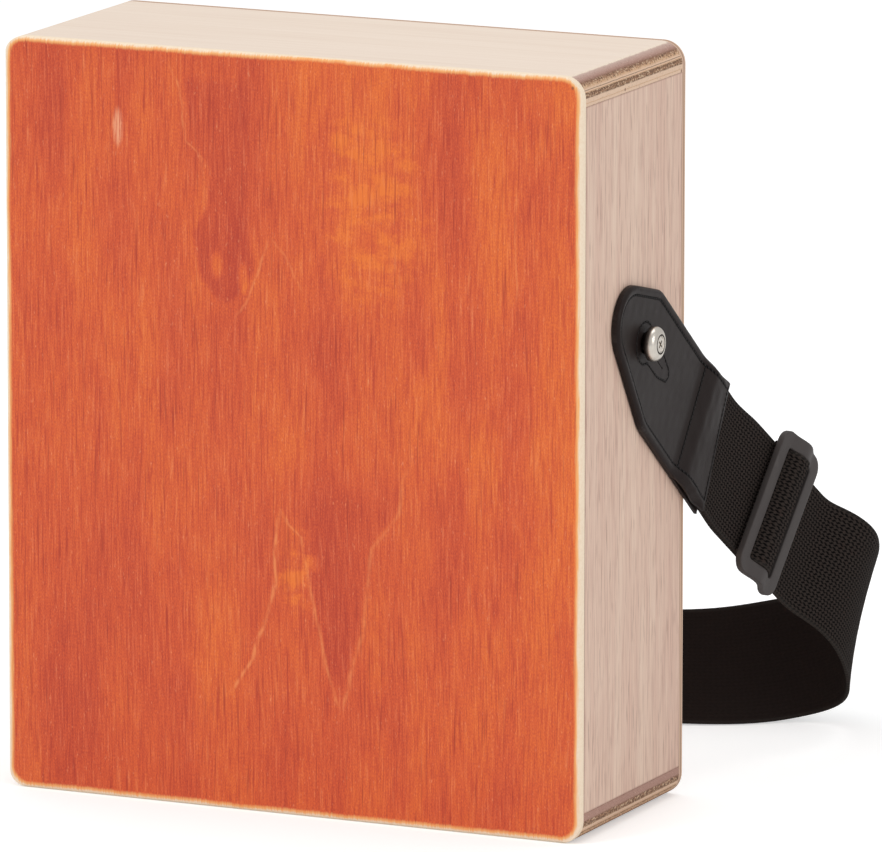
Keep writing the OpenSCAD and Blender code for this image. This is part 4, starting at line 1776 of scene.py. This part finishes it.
@dataclass
class StrapButton:
    """A turned nickel button with a domed head and a recess for its screw, in millimetres."""

    side: Side
    finish: bpy.types.Material
    head_r: float = 7.0
    neck_r: float = 4.0
    neck_h: float = 5.2
    head_h: float = 4.5
    recess_r: float = 3.1
    bore_r: float = 2.05
    fillet: float = 0.4
    edge: float = 0.55
    edge_cut: float = 0.15
    ring_w: float = 0.9
    groove_w: float = 0.53
    groove_depth: float = 0.45
    groove_lean: float = 0.08
    steps: int = 72

    def profile(self) -> Line:
        """The button's section.

        Returns:
            Radius and height, from the bore's foot round the outside to its mouth.
        """
        rim = self.neck_h + self.head_h * 0.4
        top = self.neck_h + self.head_h
        rows = [(self.bore_r, 0.0), (self.neck_r, 0.0), (self.neck_r, self.neck_h - self.fillet)]
        rows += [(self.neck_r + self.fillet, self.neck_h), (self.head_r - self.edge, self.neck_h)]
        rows.append((self.head_r - self.edge_cut, self.neck_h + self.edge_cut))
        rows.append((self.head_r, self.neck_h + self.edge))
        flat = self.recess_r + self.ring_w
        for k in range(11):
            turn = math.pi / 2 * k / 10
            rows.append((flat + (self.head_r - flat) * math.cos(turn), rim + (top - rim) * math.sin(turn)))
        groove = top - self.groove_depth
        rows += [(flat - self.groove_lean, groove), (flat - self.groove_w + self.groove_lean, groove)]
        rows.append((flat - self.groove_w, top))
        rows += [(self.recess_r + 0.1, top), (self.recess_r, top - 0.12)]
        return rows + [(reach, top - self.head_h / 2) for reach in (self.recess_r, self.bore_r)]

    def build(self) -> None:
        """Turns the profile."""
        mesh = bmesh.new()
        verts = [mesh.verts.new((r, 0, h)) for r, h in self.profile()]
        edges = [mesh.edges.new(pair) for pair in zip(verts, verts[1:] + verts[:1])]
        bmesh.ops.spin(
            mesh, geom=verts + edges, cent=(0, 0, 0), axis=(0, 0, 1), angle=2 * math.pi,
            steps=self.steps, use_merge=True, use_duplicate=False,
        )
        bmesh.ops.remove_doubles(mesh, verts=mesh.verts, dist=1e-4)
        bmesh.ops.recalc_face_normals(mesh, faces=mesh.faces)
        place_on_side(mesh, self.side)
        piece = to_object(mesh, f"turned_button_{self.side.word}", self.finish)
        round_edges(piece, 0.08 * MM, 2, 45)
        settle(piece, Body.DRUM, "button_nickel", f"strap_button_{self.side.word}")


@dataclass
class SnareSet:
    """Coiled snare wires that run up behind the playing panel, in millimetres."""

    side: Side
    finish: bpy.types.Material
    count: int = 10
    pitch: float = 3.4
    coil_r: float = 0.9
    wire_r: float = 0.26
    turn_pitch: float = 1.15
    set_x: float = 46.0
    steps: int = 10

    def _coil(self, length: float) -> bpy.types.Mesh:
        """Spins one coil that stands on the origin.

        Args:
            length: its length in millimetres.

        Returns:
            Its mesh, in millimetres.
        """
        mesh = bmesh.new()
        turns = length / self.turn_pitch
        place = Matrix.Translation((self.coil_r - self.wire_r, 0, 0)) @ Matrix.Rotation(math.pi / 2, 4, "X")
        ring = bmesh.ops.create_circle(mesh, segments=5, radius=self.wire_r, matrix=place)["verts"]
        edges = list({e for v in ring for e in v.link_edges})
        count = int(turns * self.steps)
        bmesh.ops.spin(
            mesh, geom=ring + edges, cent=(0, 0, 0), axis=(0, 0, 1), dvec=(0, 0, length / count),
            angle=2 * math.pi * turns, steps=count, use_merge=False, use_duplicate=False,
        )
        bmesh.ops.holes_fill(mesh, edges=[e for e in mesh.edges if e.is_boundary], sides=8)
        bmesh.ops.recalc_face_normals(mesh, faces=mesh.faces)
        return to_mesh(mesh, "coil")

    def build(self) -> None:
        """Sets one coil for each wire side by side."""
        low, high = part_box(f"snare_wires_{self.side.word}")
        length = (high.z - low.z) / MM - 2 * self.wire_r
        coil = self._coil(length)
        mesh = bmesh.new()
        first = self.side.value * self.set_x - (self.count - 1) / 2 * self.pitch
        coil.transform(Matrix.Translation((first, (low.y + high.y) / 2 / MM, low.z / MM + self.wire_r)))
        for _ in range(self.count):
            mesh.from_mesh(coil)
            coil.transform(Matrix.Translation((self.pitch, 0, 0)))
        bmesh.ops.scale(mesh, vec=(MM, MM, MM), verts=mesh.verts)
        piece = to_object(mesh, f"snare_coils_{self.side.word}", self.finish)
        settle(piece, Body.DRUM, "snare_steel", f"snare_wires_{self.side.word}")


# ---------------------------------------------------------------- stage


@dataclass
class Studio:
    """Floor, lamps, background and camera, in metres and degrees."""

    floor_half: float = 6.0
    background: float = 1.0
    ambient: float = 0.62
    image_w: int = 882
    focal_pixels: float = 11580.8137
    yaw_pitch_roll: tuple[float, float, float] = (24.71751, 11.10719, 0.06034)
    aim: tuple[float, float, float] = (0, 0, 0.1525)
    distance: float = 4.6090535
    off_x: float = -0.0384552
    off_y: float = 0.0039266

    def build(self) -> None:
        """Sets everything up."""
        self._floor()
        self._world()
        self._lamp("key", (-1.5, -2.3, 2.1), 1.5, 30.0)
        self._lamp("side", (2.5, -0.7, 1.3), 1.2, 13.5)
        self._lamp("top", (0.2, 0.4, 2.4), 1.4, 10.0)
        self._camera()

    def _floor(self) -> None:
        """A wide plain floor."""
        mesh = bmesh.new()
        bmesh.ops.create_grid(mesh, x_segments=1, y_segments=1, size=self.floor_half)
        floor = to_object(mesh, "floor", PaleFloor("pale_floor").make(), smooth=False)
        floor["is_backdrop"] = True

    def _world(self) -> None:
        """A white surround that is softer as a light than as a background."""
        world = bpy.data.worlds.new("surround")
        world.use_nodes = True
        bpy.context.scene.world = world
        bench = Bench(world.node_tree)
        seen = bench.node("ShaderNodeLightPath", out="Is Camera Ray")
        strength = self.ambient + seen * (self.background - self.ambient)
        light = bench.node("ShaderNodeBackground", None, {"Color": (1.0, 1.0, 1.0), "Strength": strength})
        bench.node("ShaderNodeOutputWorld", None, {"Surface": light})

    @staticmethod
    def _lamp(name: str, place: tuple[float, float, float], size: float, power: float) -> None:
        """A square soft box aimed at the drum's middle.

        Args:
            name: the lamp's name.
            place: where it stands.
            size: its width.
            power: its power in watts.
        """
        data = bpy.data.lights.new(name, "AREA")
        data.shape = "SQUARE"
        data.size = size
        data.energy = power
        lamp = bpy.data.objects.new(name, data)
        aim = Vector((0, 0, BODY_H / 2)) - Vector(place)
        lamp.location = place
        lamp.rotation_euler = aim.to_track_quat("-Z", "Y").to_euler()
        bpy.context.scene.collection.objects.link(lamp)

    def _camera(self) -> None:
        """The photograph's viewpoint: turned round the aim, drawn back by the distance and set off."""
        yaw, pitch, roll = (math.radians(angle) for angle in self.yaw_pitch_roll)
        back = Vector((math.sin(yaw) * math.cos(pitch), -math.cos(yaw) * math.cos(pitch), math.sin(pitch)))
        right = (-back).cross(Vector((0, 0, 1))).normalized()
        up = right.cross(-back)
        turned_right = math.cos(roll) * right + math.sin(roll) * up
        turned_up = math.cos(roll) * up - math.sin(roll) * right
        place = Vector(self.aim) + back * self.distance - turned_right * self.off_x - turned_up * self.off_y
        data = bpy.data.cameras.new("camera")
        data.sensor_width = 36.0
        data.lens = self.focal_pixels * data.sensor_width / self.image_w
        data.clip_end = 40.0
        camera = bpy.data.objects.new("camera", data)
        turn = Matrix((turned_right, turned_up, back)).transposed().to_4x4()
        camera.matrix_world = Matrix.Translation(place) @ turn
        bpy.context.scene.collection.objects.link(camera)
        bpy.context.scene.camera = camera


@dataclass
class BoxDrum:
    """The plywood box, whose panels keep their CAD shapes."""

    def dress(self, finishes: dict[str, bpy.types.Material]) -> None:
        """Gives the CAD nodes that stay visible their materials.

        Args:
            finishes: the material of each node.
        """
        for node, finish in finishes.items():
            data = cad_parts[node].data
            data.materials.clear()
            data.materials.append(finish)
            LOG.info("%s keeps its CAD shape", node)


def main() -> None:
    """Builds every piece in order."""
    logging.basicConfig(level=logging.INFO, format="%(name)s: %(message)s")
    bpy.context.scene.view_settings.view_transform = "Standard"
    Studio().build()
    inside = RawWood("inner_wood").make()
    steel = BrushedMetal("snare_steel", (0.66, 0.66, 0.67), 0.24).make()
    side_veneer = StreakedVeneer("side_veneer").make()
    nickel = BrushedMetal("button_nickel", centre=(BUTTON.y, BUTTON.z)).make()
    BoxDrum().dress(
        {
            "tapa": StainedPanel("stained_panel").make(),
            "top_panel": PlyEnd("top_ply").make(),
            "bottom_panel": PlyEnd("bottom_ply", upper=False).make(),
            "side_panel_right": side_veneer,
            "side_panel_left": side_veneer,
            "back_panel": StreakedVeneer("back_veneer", along_x=True, rim=True).make(),
            "glue_blocks_top": inside,
            "glue_blocks_bottom": inside,
            "snare_bar": inside,
            "bar_cleat_right": inside,
            "bar_cleat_left": inside,
            "snare_clips_right": steel,
            "snare_clips_left": steel,
            "snare_screws": steel,
            "button_screw_right": nickel,
            "button_screw_left": nickel,
        }
    )
    leather = Leather("tab_leather").make()
    thread = Thread("thread").make()
    webbing = Webbing("webbing").make()
    path = StrapPath()
    Strap(path, webbing).build()
    Slider(path, MouldedPlastic("slider_plastic").make(), webbing).build()
    for side in Side:
        LeatherTab(side, leather, thread).build()
        StrapButton(side, nickel).build()
        SnareSet(side, steel).build()
    sizes = {"cad": CAD_BOX, "visual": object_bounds()}
    {name: [list(corner) for corner in box] for name, box in sizes.items()}


if __name__ == "__main__":
    main()
